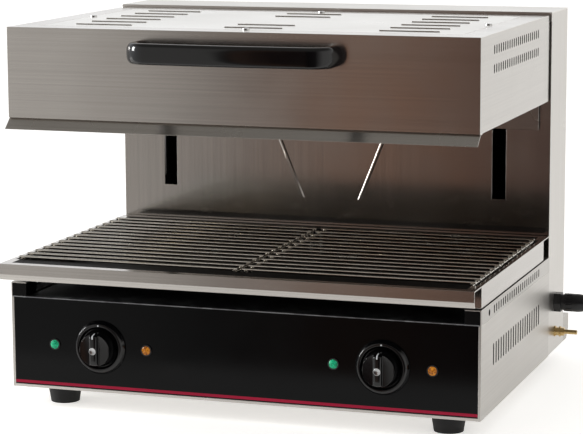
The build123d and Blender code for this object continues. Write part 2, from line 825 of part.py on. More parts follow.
def handle_ends():
    """X of the two ends of the handle."""
    return -handle_length / 2, handle_length / 2


def hood_handle():
    """Bowed bar handle that curves back to the hood's front at both ends."""
    z = hood_bottom + handle_level
    ends = handle_ends()
    out = hood_front - handle_reach
    corners = [
        (ends[0], hood_front, z),
        (ends[0], out, z),
        (0, out - handle_bow, z),
        (ends[1], out, z),
        (ends[1], hood_front, z),
    ]
    path = FilletPolyline(*corners, radius=[handle_bend, handle_bow_radius, handle_bend])
    section = Plane(origin=corners[0], x_dir=(1, 0, 0), z_dir=(0, -1, 0))
    bar = sweep(section * RectangleRounded(handle_thickness, handle_height, handle_rounding),
                path=path)
    outline = RectangleRounded(handle_length + handle_thickness, handle_height,
                               handle_end_rounding)
    front_view = Plane(origin=(0, hood_front, z), x_dir=(1, 0, 0), z_dir=(0, -1, 0))
    bar &= front_view * extrude(outline, hood_front - handle_front)
    holes = [rod_y_axis(x, (hood_front - screw_length, hood_front), z, screw_radius)
             for x in ends]
    return bar - holes


def screw_down(x, y, z):
    """Pan-head screw driven down, with its head on the surface at z."""
    return rod_z(x, y, (z - screw_length, z), screw_radius) + rod_z(
        x, y, (z, z + screw_head), screw_head_radius)


def handle_screw(x):
    """Screw from inside the hood's front wall into the handle."""
    z = hood_bottom + handle_level
    inside = hood_front + sheet
    return rod_y_axis(x, (hood_front - screw_length, inside), z, screw_radius) + rod_y_axis(
        x, (inside, inside + screw_head), z, screw_head_radius)


# ---- lift: arms, carriage, bushes, rods
def lift_arm():
    """Right arm: a plate on the hood's back and a web through the column's slot."""
    carriage = column_front + carriage_setback
    plate = block((arm_x - arm_plate / 2, arm_x + arm_plate / 2),
                  (hood_back, hood_back + arm_plate_thickness), (arm_bottom, arm_top))
    web = block((arm_x - arm_width / 2, arm_x + arm_width / 2), (hood_back, carriage),
                (arm_bottom, arm_top))
    return plate + web


def carriage_plate():
    """Plate that joins both arms inside the column, with a tab for each rope."""
    y = column_front + carriage_setback
    half = carriage_width / 2
    plate = block((-half, half), (y, y + carriage_thickness), (arm_bottom, arm_top))
    rope_y = pulley_y - pulley_pitch_radius
    tab = block((rope_x - tab_width / 2, rope_x + tab_width / 2),
                (y, rope_y + tab_overhang), (tab_level - carriage_thickness, tab_level))
    return plate + tab + flipped(tab)


def slide_bush(x, z):
    """Sliding block on a guide rod, behind the carriage plate."""
    half = bush_size / 2
    y = (column_front + carriage_setback + carriage_thickness, rod_y + half)
    body = block((x - half, x + half), y, (z - bush_height / 2, z + bush_height / 2))
    return body - rod_z(x, rod_y, (z - bush_height, z + bush_height),
                        rod_radius + rod_clearance)


def guide_rod(x):
    """Upright round rod that the hood's bushes slide on."""
    return rod_z(x, rod_y, (rod_bottom, rod_top), rod_radius)


def rod_bracket_block(x, z):
    """Block that holds one end of a guide rod off the column's front sheet."""
    half = rod_bracket / 2
    y = (column_front + sheet, rod_y + half)
    body = block((x - half, x + half), y, (z, z + rod_bracket_height))
    return body - rod_z(x, rod_y, (z, z + rod_bracket_height), rod_radius)


def bush_levels():
    """Heights of the lower and the upper bush on each rod."""
    return arm_bottom + bush_height / 2, arm_top - bush_height / 2


def hood_stop(x):
    """Rubber collar on the guide rod that the hood comes down on."""
    top = arm_bottom - hood_travel - stop_gap
    collar = rod_z(x, rod_y, (top - stop_height, top), stop_radius)
    return collar - rod_z(x, rod_y, (top - stop_height, top), rod_radius)


# ---- lift: pulleys, ropes, weight
def pulley(x):
    """Grooved pulley on its axle."""
    half = pulley_width / 2
    groove = pulley_pitch_radius - rope_radius - rope_groove_gap
    opening = rope_radius + rope_groove_gap
    wheel = rod_x_axis((x - half, x + half), pulley_y, pulley_level, pulley_outer_radius)
    cut_profile = Polyline(
        (-opening, groove),
        (opening, groove),
        (opening + pulley_flank, pulley_outer_radius + seam),
        (-opening - pulley_flank, pulley_outer_radius + seam),
        close=True,
    )
    cut = revolve(Plane.XY * make_face(cut_profile), Axis.X)
    cut = Pos(x, pulley_y, pulley_level) * cut
    bore = rod_x_axis((x - half, x + half), pulley_y, pulley_level,
                      pulley_axle_radius + shaft_clearance)
    return wheel - cut - bore


def pulley_bracket(x):
    """Fork under the column's top that carries a pulley's axle."""
    inner = pulley_width / 2 + pulley_side_gap
    outer = inner + bracket_thickness
    y = (pulley_y - bracket_length / 2, pulley_y + bracket_length / 2)
    bottom = pulley_level - bracket_length / 2
    top = column_top_z - sheet
    cheeks = [block((x + side * (inner + outer) / 2 - bracket_thickness / 2,
                     x + side * (inner + outer) / 2 + bracket_thickness / 2),
                    y, (bottom, top)) for side in (-1, 1)]
    roof = block((x - outer, x + outer), y, (top - bracket_thickness, top))
    hole = rod_x_axis((x - outer, x + outer), pulley_y, pulley_level, pulley_axle_radius)
    return roof.fuse(*cheeks) - hole


def pulley_axle(x):
    """Headed pin through the fork."""
    outer = pulley_width / 2 + pulley_side_gap + bracket_thickness
    pin = rod_x_axis((x - outer, x + outer), pulley_y, pulley_level, pulley_axle_radius)
    heads = [rod_x_axis(limits, pulley_y, pulley_level, axle_head_radius)
             for limits in ((x - outer - axle_head, x - outer), (x + outer, x + outer + axle_head))]
    return pin.fuse(*heads)


def rope_bend(x):
    """Half turn of rope over a pulley."""
    ring = Pos(x, pulley_y, pulley_level) * Rot(Y=90) * Torus(pulley_pitch_radius, rope_radius)
    reach = pulley_outer_radius + rope_radius
    upper = block((x - reach, x + reach), (pulley_y - reach, pulley_y + reach),
                  (pulley_level, pulley_level + reach))
    return ring & upper


def hood_rope(x):
    """Straight rope from the pulley's front down to the carriage's tab, with its ferrule."""
    y = pulley_y - pulley_pitch_radius
    rope = rod_z(x, y, (tab_level, pulley_level), rope_radius)
    return rope + rod_z(x, y, (tab_level, tab_level + ferrule_length), ferrule_radius)


def weight_rope(x):
    """Straight rope from the pulley's back down to the counterweight, with its ferrule."""
    y = pulley_y + pulley_pitch_radius
    top = weight_bottom + weight_height
    rope = rod_z(x, y, (top, pulley_level), rope_radius)
    return rope + rod_z(x, y, (top, top + ferrule_length), ferrule_radius)


def counterweight():
    """Steel bar that balances the hood."""
    y = pulley_y + pulley_pitch_radius
    half = weight_thickness / 2
    bar = block((-weight_width / 2, weight_width / 2), (y - half, y + half),
                (weight_bottom, weight_bottom + weight_height))
    return chamfer(bar.edges().filter_by(Axis.Z), weight_chamfer)


def weight_guide():
    """Right channel that keeps the counterweight's end from swinging."""
    y = pulley_y + pulley_pitch_radius
    half = weight_thickness / 2 + weight_guide_gap
    x_end = weight_width / 2 + weight_guide_gap
    z = (weight_bottom - weight_guide_run,
         weight_bottom + weight_height + hood_travel + weight_guide_run)
    x = (x_end - weight_guide_leg, x_end + weight_guide_sheet)
    back = y + half + weight_guide_sheet
    channel = block(x, (y - half - weight_guide_sheet, back), z)
    channel -= block((x[0], x_end), (y - half, y + half), z)
    lugs = [block((x[1] - weight_guide_lug, x[1]), (back, column_back - sheet),
                  (level, level + weight_guide_lug)) for level in (z[0], z[1] - weight_guide_lug)]
    return channel.fuse(*lugs)


# ---- column
def back_panel():
    """Column's front sheet: two lift slots and two pressed beads that spread upwards."""
    z = (base_z + sheet, column_top_z - sheet)
    sketch = Pos(0, (z[0] + z[1]) / 2) * Rectangle(2 * column_half, z[1] - z[0])
    slot_length = slot_top - slot_bottom
    slot_middle = (slot_top + slot_bottom) / 2
    slots = [Pos(side * arm_x, slot_middle) * Rectangle(slot_width, slot_length)
             for side in (-1, 1)]
    front_plane = Plane(origin=(0, column_front + sheet, 0), x_dir=(1, 0, 0), z_dir=(0, -1, 0))
    plate = front_plane * extrude(sketch - slots, sheet)
    rise = bead_top - bead_bottom
    spread = bead_top_offset - bead_bottom_offset
    length = sqrt(rise ** 2 + spread ** 2)
    beads = []
    for side in (-1, 1):
        profile = Polyline(
            (side * bead_bottom_offset - bead_width / 2, bead_bottom),
            (side * bead_bottom_offset + bead_width / 2, bead_bottom),
            (side * bead_top_offset + bead_width / 2, bead_top),
            (side * bead_top_offset - bead_width / 2, bead_top),
            close=True,
        )
        pressed = extrude(make_face(profile), bead_depth)
        pressed_plane = Plane(origin=(0, column_front, 0), x_dir=(1, 0, 0), z_dir=(0, -1, 0))
        ridge = pressed_plane * pressed
        top_edges = ridge.edges().group_by(Axis.Y)[0]
        long_edges = top_edges.filter_by(lambda edge: edge.length > length / 2)
        ridge = chamfer(long_edges, bead_depth * bead_slope)
        beads.append(ridge)
    return plate.fuse(*beads)


def column_side(right):
    """One side of the column, folded in at the front and the back."""
    x = (column_half - sheet, column_half)
    y = (column_front + sheet, column_back)
    z = (base_z, column_top_z - sheet)
    plate = side_plate(x, y, z)
    front = block((column_half - column_flange, column_half), (y[0], y[0] + sheet),
                  (base_z + sheet, z[1]))
    rear = block((column_half - column_flange, column_half),
                 (y[1] - 2 * sheet, y[1] - sheet), z)
    piece = plate + front + rear
    if right:
        piece -= rod_x_axis(x, gland_y, gland_level, gland_thread_radius)
        piece -= rod_x_axis(x, gland_y, stud_level, stud_radius)
        return piece
    return flipped(piece)


def rear_cover():
    """Removable back of the column, with a row of tall slots near the top."""
    x = column_half - sheet - seam
    z = (base_z + rear_cover_inset, column_top_z - sheet - rear_cover_inset)
    sketch = Pos(0, (z[0] + z[1]) / 2) * Rectangle(2 * x, z[1] - z[0])
    first = -rear_slot_pitch * (rear_slot_count - 1) / 2
    level = column_top_z - rear_slot_drop
    cuts = [Pos(first + rear_slot_pitch * i, level) * Rot(Z=90)
            * SlotOverall(rear_slot_height, rear_slot_width) for i in range(rear_slot_count)]
    cuts += [Pos(*spot) * Circle(screw_radius) for spot in cover_screws_behind()]
    plane = Plane(origin=(0, column_back, 0), x_dir=(1, 0, 0), z_dir=(0, -1, 0))
    return plane * extrude(sketch - cuts, sheet)


def cover_screws_behind():
    """Places of the rear cover's screws, as (x, z)."""
    x = column_half - column_flange / 2
    levels = (base_z + spacer_height + rear_screw_rise, (base_z + column_top_z) / 2,
              column_top_z - rear_screw_drop)
    return [(side * x, level) for side in (-1, 1) for level in levels]


def rear_cover_screw(x, z):
    """Screw through the rear cover into the column's flange, head outside."""
    shank = rod_y_axis(x, (column_back - sheet, column_back), z, screw_radius)
    head = rod_y_axis(x, (column_back, column_back + screw_head), z, screw_head_radius)
    return shank + head


def column_cap():
    """Top of the column, folded down in front of the back panel."""
    z = (column_top_z - sheet, column_top_z)
    top = block((-column_half, column_half), (column_front - sheet, column_back), z)
    front = block((-column_half, column_half), (column_front - sheet, column_front),
                  (column_top_z - cap_flange, column_top_z))
    return top + front


def rear_spacer():
    """Hollow folded spacer low on the column's back that keeps it off a wall."""
    profile = Polyline(
        (column_back, base_z),
        (column_back + spacer_depth - spacer_chamfer, base_z),
        (column_back + spacer_depth, base_z + spacer_chamfer),
        (column_back + spacer_depth, base_z + spacer_height),
        (column_back, base_z + spacer_height),
        close=True,
    )
    outer = Plane.YZ.offset(-column_half) * extrude(make_face(profile), 2 * column_half)
    chamfer_shift = sheet * (sqrt(2) - 1)
    hollow_profile = Polyline(
        (column_back, base_z + sheet),
        (column_back + spacer_depth - spacer_chamfer - chamfer_shift, base_z + sheet),
        (column_back + spacer_depth - sheet, base_z + spacer_chamfer + chamfer_shift),
        (column_back + spacer_depth - sheet, base_z + spacer_height - sheet),
        (column_back, base_z + spacer_height - sheet),
        close=True,
    )
    inner = column_half - sheet
    hollow = Plane.YZ.offset(-inner) * extrude(make_face(hollow_profile), 2 * inner)
    return outer - hollow


# ---- cable gland and earth stud on the column's right side
def hexagon_bar(x, y, z, across_flats):
    """A six-sided bar along X."""
    radius = across_flats / sqrt(3)
    plane = Plane(origin=(x[0], y, z), x_dir=(0, 1, 0), z_dir=(1, 0, 0))
    return plane * extrude(RegularPolygon(radius, 6), x[1] - x[0])


def gland_body():
    """Fixed half of the cable gland: thread and lock nut inside, hexagon and neck outside."""
    x = column_half
    thread = rod_x_axis((x - sheet - gland_thread_length, x), gland_y, gland_level,
                        gland_thread_radius)
    lock = hexagon_bar((x - sheet - gland_thread_length / 2, x - sheet), gland_y, gland_level,
                       gland_across_flats)
    hexagon = hexagon_bar((x, x + gland_hex_length), gland_y, gland_level, gland_across_flats)
    end = x + gland_hex_length + gland_neck_length
    neck = rod_x_axis((x, end), gland_y, gland_level, gland_neck_radius)
    bore = rod_x_axis((x - sheet - gland_thread_length, end), gland_y, gland_level,
                      gland_bore_radius)
    return thread + lock + hexagon + neck - bore


def gland_nut():
    """Dome nut of the cable gland, ribbed outside and bored for the cable."""
    start = column_half + gland_hex_length + gland_neck_length
    shoulder = start + gland_nut_length
    end = shoulder + gland_tip_length
    rim = gland_across_flats / 2
    halfway = ((shoulder + end) / 2, (rim + gland_tip_radius) / 2 + gland_tip_bulge)
    flank = Polyline((end, gland_tip_radius), (end, gland_bore_radius),
                     (start, gland_bore_radius), (start, rim), (shoulder, rim))
    dome = ThreePointArc((shoulder, rim), halfway, (end, gland_tip_radius))
    nut = revolve(Plane.XY * make_face(flank + dome), Axis.X)
    nut = Pos(0, gland_y, gland_level) * nut
    grooves = PolarLocations(rim, gland_groove_count)
    length = gland_nut_length - 2 * gland_groove_inset
    middle = Pos((start + shoulder) / 2, gland_y, gland_level)
    cutters = [middle * Rot(Y=90) * spot * Cylinder(gland_groove_radius, length)
               for spot in grooves]
    return nut - cutters


def earth_stud():
    """Brass earth stud through the column's side."""
    x = (column_half - sheet - stud_tail, column_half + stud_length)
    return rod_x_axis(x, gland_y, stud_level, stud_radius)


def earth_nuts():
    """Washers and nuts on the earth stud, on both faces of the sheet and further out."""
    x = column_half
    stack = []
    inside = x - sheet
    stack.append(hexagon_bar((inside - stud_nut_height, inside), gland_y, stud_level,
                             stud_nut_flats))
    stack.append(rod_x_axis((x, x + stud_washer), gland_y, stud_level, stud_washer_radius))
    first = x + stud_washer
    stack.append(hexagon_bar((first, first + stud_nut_height), gland_y, stud_level,
                             stud_nut_flats))
    second = first + stud_nut_height
    stack.append(rod_x_axis((second, second + stud_washer), gland_y, stud_level,
                            stud_washer_radius))
    third = second + stud_washer
    stack.append(hexagon_bar((third, third + stud_nut_height), gland_y, stud_level,
                             stud_nut_flats))
    hole = rod_x_axis((inside - stud_nut_height, third + stud_nut_height), gland_y, stud_level,
                      stud_radius)
    return [piece - hole for piece in stack]


# ---- every node and its solids
sides = (-1, 1)
nodes = {
    "base_floor": [base_floor()],
    "left_side_panel": [flipped(side_panel())],
    "right_side_panel": [side_panel()],
    "control_panel": [control_panel()],
    "deck_plate": [deck_plate()],
    "left_tray_rail": [flipped(tray_rail())],
    "right_tray_rail": [tray_rail()],
    "front_posts": [front_post(), flipped(front_post())],
    "rubber_feet": [rubber_foot(*spot) for spot in feet_places()],
    "foot_screws": [foot_screw(*spot) for spot in feet_places()],
    "thermostats": [thermostat(side) for side in sides],
    "knob_bezels": [knob_bezel(side) for side in sides],
    "lamp_housings": [lamp_housing(x) for offset in (-lamp_offset, lamp_offset)
                      for x in lamp_places(offset)],
    "green_lamp_lenses": [lamp_lens(x) for x in lamp_places(-lamp_offset)],
    "amber_lamp_lenses": [lamp_lens(x) for x in lamp_places(lamp_offset)],
    "terminal_block": [terminal_block()],
    "left_knob": [knob_grip(-1)],
    "right_knob": [knob_grip(1)],
    "left_knob_shaft": [knob_shaft(-1)],
    "right_knob_shaft": [knob_shaft(1)],
    "grill_tray": [grill_tray()],
    "left_rack": [flipped(rack())],
    "right_rack": [rack()],
    "hood_shell": [hood_shell()],
    "hood_top_cover": [hood_top_cover()],
    "hood_lip": [hood_lip()],
    "hood_rear_shield": [hood_rear_shield()],
    "reflector": [reflector()],
    "insulation_mat": [insulation_mat()],
    "heating_elements": [heating_element(), flipped(heating_element())],
    "element_brackets": [element_bracket(side * x) for side in sides for x in bracket_positions],
    "element_bushings": [element_bushing(side * element_inner, row)
                         for side in sides for row in terminal_rows()],
    "handle": [hood_handle()],
    "hood_screws": [screw_down(x, y, hood_top) for x, y in cover_screw_places()]
                   + [handle_screw(x) for x in handle_ends()],
    "lift_arms": [lift_arm(), flipped(lift_arm())],
    "carriage_plate": [carriage_plate()],
    "slide_bushes": [slide_bush(side * rod_x, z) for side in sides for z in bush_levels()],
    "hood_ropes": [hood_rope(side * rope_x) for side in sides],
    "guide_rods": [guide_rod(side * rod_x) for side in sides],
    "rod_brackets": [rod_bracket_block(side * rod_x, z) for side in sides
                     for z in (rod_bottom, rod_top - rod_bracket_height)],
    "hood_stops": [hood_stop(side * rod_x) for side in sides],
    "pulley_brackets": [pulley_bracket(side * rope_x) for side in sides],
    "pulley_axles": [pulley_axle(side * rope_x) for side in sides],
    "pulley_rope_bends": [rope_bend(side * rope_x) for side in sides],
    "left_pulley": [pulley(-rope_x)],
    "right_pulley": [pulley(rope_x)],
    "counterweight": [counterweight()],
    "weight_ropes": [weight_rope(side * rope_x) for side in sides],
    "weight_guides": [weight_guide(), flipped(weight_guide())],
    "back_panel": [back_panel()],
    "column_left_side": [column_side(False)],
    "column_right_side": [column_side(True)],
    "column_rear_cover": [rear_cover()],
    "rear_cover_screws": [rear_cover_screw(*spot) for spot in cover_screws_behind()],
    "column_top": [column_cap()],
    "rear_spacer": [rear_spacer()],
    "cable_gland_body": [gland_body()],
    "cable_gland_nut": [gland_nut()],
    "earth_stud": [earth_stud()],
    "earth_nuts": earth_nuts(),
}

for name, pieces in nodes.items():
    export_step(place(pieces), f"parts/{name}.step")
print(len(nodes), "nodes")
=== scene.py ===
from math import radians

import bmesh
import bpy
import numpy as np
from mathutils import Matrix, Vector


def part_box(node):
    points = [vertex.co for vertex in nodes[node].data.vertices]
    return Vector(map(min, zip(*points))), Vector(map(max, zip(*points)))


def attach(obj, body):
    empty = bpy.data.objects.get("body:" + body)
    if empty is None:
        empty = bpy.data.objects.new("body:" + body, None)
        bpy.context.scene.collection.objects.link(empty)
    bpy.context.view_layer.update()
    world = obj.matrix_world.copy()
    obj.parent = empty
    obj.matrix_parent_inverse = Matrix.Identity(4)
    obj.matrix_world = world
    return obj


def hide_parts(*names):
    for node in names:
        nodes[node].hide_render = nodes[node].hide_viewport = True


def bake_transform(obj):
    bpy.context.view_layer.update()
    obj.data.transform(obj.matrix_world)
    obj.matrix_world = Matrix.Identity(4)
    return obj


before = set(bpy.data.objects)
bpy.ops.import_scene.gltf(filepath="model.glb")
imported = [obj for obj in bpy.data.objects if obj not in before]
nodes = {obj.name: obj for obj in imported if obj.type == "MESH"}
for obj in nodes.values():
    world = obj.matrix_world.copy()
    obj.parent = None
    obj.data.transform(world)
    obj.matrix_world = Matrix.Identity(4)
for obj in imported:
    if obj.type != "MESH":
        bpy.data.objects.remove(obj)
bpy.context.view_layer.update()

# Lift-top grill. Everything is in metres in the model's own frame: X to the right, Y to the
# back, Z up from the table. The sections follow the grill as it is put together.
mm = 0.001
panel_low, panel_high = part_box("control_panel")
middle_x = (panel_low.x + panel_high.x) / 2      # the body's middle
front_y = panel_low.y                            # the control panel's face


# ---- base: floor, side panels and tray rails
# The control box is folded from 1.2 mm stainless sheet, ground with a 150-grit belt along its
# length, which leaves fine parallel lines and streaked reflections. Its folded edges are painted
# paler as a highlight, and its inner faces are painted dark as shade.
def linear(hex_code):
    """sRGB hex colour as linear RGBA: each channel c becomes c/12.92 or ((c+0.055)/1.055)^2.4."""
    c = np.array([int(hex_code[i:i + 2], 16) for i in (1, 3, 5)]) / 255
    return (*np.where(c <= 0.04045, c / 12.92, ((c + 0.055) / 1.055) ** 2.4).tolist(), 1.0)


def add(tree, kind, inputs=None, **settings):
    """One node with its settings; inputs holds a value or another node's output for each socket."""
    node = tree.nodes.new(kind)
    for key, value in settings.items():
        setattr(node, key, value)
    for key, value in (inputs or {}).items():
        if isinstance(value, bpy.types.NodeSocket):
            tree.links.new(value, node.inputs[key])
        else:
            node.inputs[key].default_value = value
    return node


def new_material(name):
    """An empty node material, its node tree and its Object coordinates."""
    material = bpy.data.materials.new(name)
    material.use_nodes = True
    tree = material.node_tree
    tree.nodes.clear()
    return material, tree, add(tree, "ShaderNodeTexCoord").outputs["Object"]


def surfaced(material, inputs):
    """The material, once it has a shader with these inputs as its surface."""
    shader = add(material.node_tree, "ShaderNodeBsdfPrincipled", inputs)
    add(material.node_tree, "ShaderNodeOutputMaterial", {"Surface": shader.outputs[0]})
    return material


def brushed_steel(name, light, dark, lines, roughness, drawn_out=0.45, inside=None):
    """Brushed stainless sheet. Two stretched noises make the grit lines, 0.9 mm and 2.4 mm apart
    (real ones are 0.1 mm, too fine to show); a broad noise makes the handling smudges; a 0.7 mm
    rounding of the normals lights up the folded edges, which are also painted paler as a
    highlight. Reflections are drawn out across the lines by drawn_out. Within the box inside,
    the sheet is rougher and painted near-black: painted shade on its inner faces and slot walls."""
    material, tree, place = new_material(name)
    facing = add(tree, "ShaderNodeNewGeometry").outputs["Normal"]
    up = add(tree, "ShaderNodeSeparateXYZ", {0: facing}).outputs["Z"]
    flat = add(tree, "ShaderNodeMath", {0: up, 1: up}, operation="MULTIPLY").outputs[0]
    layers = []
    for spacing, length in ((1100.0, 3.0), (420.0, 1.5)):
        wall = {"x": (length, length, spacing), "z": (spacing, spacing, length)}[lines]
        on_wall = add(tree, "ShaderNodeMapping", {"Vector": place, "Scale": wall})
        on_roof = add(tree, "ShaderNodeMapping", {"Vector": place,
                                                  "Scale": (length, spacing, length)})
        mixed = add(tree, "ShaderNodeMix", {0: flat, 4: on_wall.outputs[0], 5: on_roof.outputs[0]},
                    data_type="VECTOR")
        layers.append(add(tree, "ShaderNodeTexNoise",
                          {"Vector": mixed.outputs[1], "Scale": 1.0, "Detail": 2.0}).outputs["Fac"])
    grain = add(tree, "ShaderNodeMix", {0: 0.4, 2: layers[0], 3: layers[1]}).outputs[0]
    tone = add(tree, "ShaderNodeMix", {0: grain, 6: linear(dark), 7: linear(light)},
               data_type="RGBA").outputs[2]
    smudges = add(tree, "ShaderNodeTexNoise", {"Vector": place, "Scale": 9.0, "Detail": 3.0,
                                               "Roughness": 0.55}).outputs["Fac"]
    rough = add(tree, "ShaderNodeMapRange", {0: smudges, 1: 0.3, 2: 0.7, 3: roughness - 0.03,
                                             4: roughness + 0.03}).outputs[0]
    rounded = add(tree, "ShaderNodeBevel", {"Radius": 0.7 * mm}, samples=4).outputs[0]
    # painted highlight: at the folded edges, where the rounded normal turns off the face, the tone
    # is painted paler
    along = add(tree, "ShaderNodeVectorMath", {0: rounded, 1: facing}, operation="DOT_PRODUCT")
    edge_wear_and_highlight = add(tree, "ShaderNodeMapRange", {0: along.outputs["Value"], 1: 0.995, 2: 0.8, 3: 0.0,
                                            4: 0.8}).outputs[0]
    tone = add(tree, "ShaderNodeMix", {0: edge_wear_and_highlight, 6: tone, 7: linear("#efece6")},
               data_type="RGBA").outputs[2]
    if inside:
        axes = add(tree, "ShaderNodeSeparateXYZ", {0: place})
        inner = 1.0
        for axis, low, high in zip("XYZ", *inside):
            between = add(tree, "ShaderNodeMath", {0: axes.outputs[axis], 1: (low + high) / 2,
                                                   2: (high - low) / 2}, operation="COMPARE")
            inner = add(tree, "ShaderNodeMath", {0: between.outputs[0], 1: inner},
                        operation="MULTIPLY").outputs[0]
        # painted shade: inside the box, inner faces and slot walls are painted near-black
        tone = add(tree, "ShaderNodeMix", {0: inner, 6: tone, 7: linear("#1d1b1a")},
                   data_type="RGBA").outputs[2]
        rough = add(tree, "ShaderNodeMix", {0: inner, 2: rough, 3: 0.6}).outputs[0]
    relief = add(tree, "ShaderNodeBump", {"Height": grain, "Normal": rounded, "Strength": 0.35,
                                          "Distance": 0.06 * mm})
    across = add(tree, "ShaderNodeVectorMath", {0: facing, 1: (0.0, 0.0, 1.0)},
                 operation="CROSS_PRODUCT").outputs[0]
    if lines == "x":
        across = add(tree, "ShaderNodeVectorMath", {0: facing, 1: across},
                     operation="CROSS_PRODUCT").outputs[0]
    across = add(tree, "ShaderNodeVectorMath", {0: across, 1: (0.0, 0.01, 0.0)}).outputs[0]
    across = add(tree, "ShaderNodeVectorMath", {0: across}, operation="NORMALIZE").outputs[0]
    return surfaced(material, {"Base Color": tone, "Roughness": rough, "Metallic": 1.0,
                               "Anisotropic": drawn_out, "Tangent": across,
                               "Normal": relief.outputs[0]})


def finish(material, *names):
    """Gives CAD nodes their material."""
    for name in names:
        nodes[name].material_slots[0].material = material


def within(*names, by=(0.05, 2.0, 2.0)):
    """The box round some nodes, drawn in by so many mm along X, Y and Z, as two lists. Drawn in
    by 0.05 mm, it takes in the walls of the slots, which look black, but not the outer face."""
    boxes = [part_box(name) for name in names]
    low = [min(box[0][i] for box in boxes) + by[i] * mm for i in range(3)]
    high = [max(box[1][i] for box in boxes) - by[i] * mm for i in range(3)]
    return low, high


finish(brushed_steel("brushed_stainless_floor", "#dedbd6", "#c4c0bb", "x", 0.3), "base_floor")
finish(brushed_steel("brushed_stainless_sides", "#d6d3ce", "#bcb8b3", "x", 0.38, drawn_out=0.2,
                     inside=within("left_side_panel", "right_side_panel")),
       "left_side_panel", "right_side_panel")
finish(brushed_steel("brushed_stainless_rails", "#c9c6c1", "#aca8a3", "x", 0.34,
                     inside=within("left_tray_rail", "right_tray_rail")),
       "left_tray_rail", "right_tray_rail")
finish(brushed_steel("brushed_stainless_spacer", "#d0ccc6", "#b0aca6", "z", 0.36), "rear_spacer")


# ---- deck over the control box
# A plain galvanised sheet keeps the tray's heat off the controls. Its zinc coat shows faint
# crystal patches 8 to 12 mm across, duller than the stainless round it.
def galvanised(name):
    """Zinc-coated steel: cells of slightly different grey and roughness, like frozen crystals."""
    material, tree, place = new_material(name)
    cells = add(tree, "ShaderNodeTexVoronoi", {"Vector": place, "Scale": 95.0})
    bright = add(tree, "ShaderNodeSeparateColor", {0: cells.outputs["Color"]}).outputs[0]
    colour = add(tree, "ShaderNodeMix", {0: bright, 6: linear("#74767a"), 7: linear("#9a9c9e")},
                 data_type="RGBA").outputs[2]
    rough = add(tree, "ShaderNodeMapRange", {0: bright, 3: 0.38, 4: 0.55}).outputs[0]
    dust = add(tree, "ShaderNodeTexNoise", {"Vector": place, "Scale": 260.0}).outputs["Fac"]
    relief = add(tree, "ShaderNodeBump", {"Height": dust, "Strength": 0.2, "Distance": 0.1 * mm})
    return surfaced(material, {"Base Color": colour, "Roughness": rough, "Metallic": 1.0,
                               "Normal": relief.outputs[0]})


zinc = galvanised("galvanised_sheet")
finish(zinc, "deck_plate")


# ---- control panel and the posts above it
# A folded steel front, stoved black with a fine satin grain, and a red line 3.6 mm high printed
# along its foot. The black picks up a soft bluish sheen and rubs a little grey at its edges.
def stoved_black(name, dark, light, roughness, stripe=None):
    """Satin black stove enamel: 1.5 mm orange-peel bump, drifting roughness, greyer folded edges.
    The stripe is the band of Object Z between its two heights."""
    material, tree, place = new_material(name)
    peel = add(tree, "ShaderNodeTexNoise", {"Vector": place, "Scale": 650.0, "Detail": 1.5})
    drift = add(tree, "ShaderNodeTexNoise", {"Vector": place, "Scale": 14.0, "Detail": 3.0})
    rough = add(tree, "ShaderNodeMapRange", {0: drift.outputs["Fac"], 1: 0.3, 2: 0.7,
                                             3: roughness * 0.8, 4: roughness * 1.2}).outputs[0]
    rounded = add(tree, "ShaderNodeBevel", {"Radius": 0.8 * mm}, samples=4).outputs[0]
    facing = add(tree, "ShaderNodeNewGeometry").outputs["Normal"]
    along = add(tree, "ShaderNodeVectorMath", {0: rounded, 1: facing}, operation="DOT_PRODUCT")
    edge_wear_and_highlight = add(tree, "ShaderNodeMapRange", {0: along.outputs["Value"], 1: 0.99, 2: 0.8, 3: 0.0,
                                            4: 0.12}).outputs[0]
    tone = add(tree, "ShaderNodeMix", {0: drift.outputs["Fac"], 6: linear(dark),
                                       7: linear(light)}, data_type="RGBA").outputs[2]
    tone = add(tree, "ShaderNodeMix", {0: edge_wear_and_highlight, 6: tone, 7: linear("#6d6d70")},
               data_type="RGBA").outputs[2]
    if stripe:
        height = add(tree, "ShaderNodeSeparateXYZ", {0: place}).outputs["Z"]
        band = add(tree, "ShaderNodeMath", {0: height, 1: sum(stripe) / 2,
                                            2: (stripe[1] - stripe[0]) / 2},
                   operation="COMPARE").outputs[0]
        red = add(tree, "ShaderNodeMix", {0: drift.outputs["Fac"], 6: linear("#8f1230"),
                                          7: linear("#b01b3c")}, data_type="RGBA").outputs[2]
        tone = add(tree, "ShaderNodeMix", {0: band, 6: tone, 7: red}, data_type="RGBA").outputs[2]
    relief = add(tree, "ShaderNodeBump", {"Height": peel.outputs["Fac"], "Normal": rounded,
                                          "Strength": 0.25, "Distance": 0.05 * mm})
    return surfaced(material, {"Base Color": tone, "Roughness": rough, "IOR": 1.5,
                               "Specular IOR Level": 0.15, "Normal": relief.outputs[0]})


stripe_foot, stripe_head = 30.2 * mm, 33.8 * mm      # above the table
finish(stoved_black("stoved_black_panel", "#030304", "#060708", 0.15,
                    stripe=(stripe_foot, stripe_head)), "control_panel")
finish(stoved_black("stoved_black_posts", "#040405", "#0a0a0b", 0.3), "front_posts")


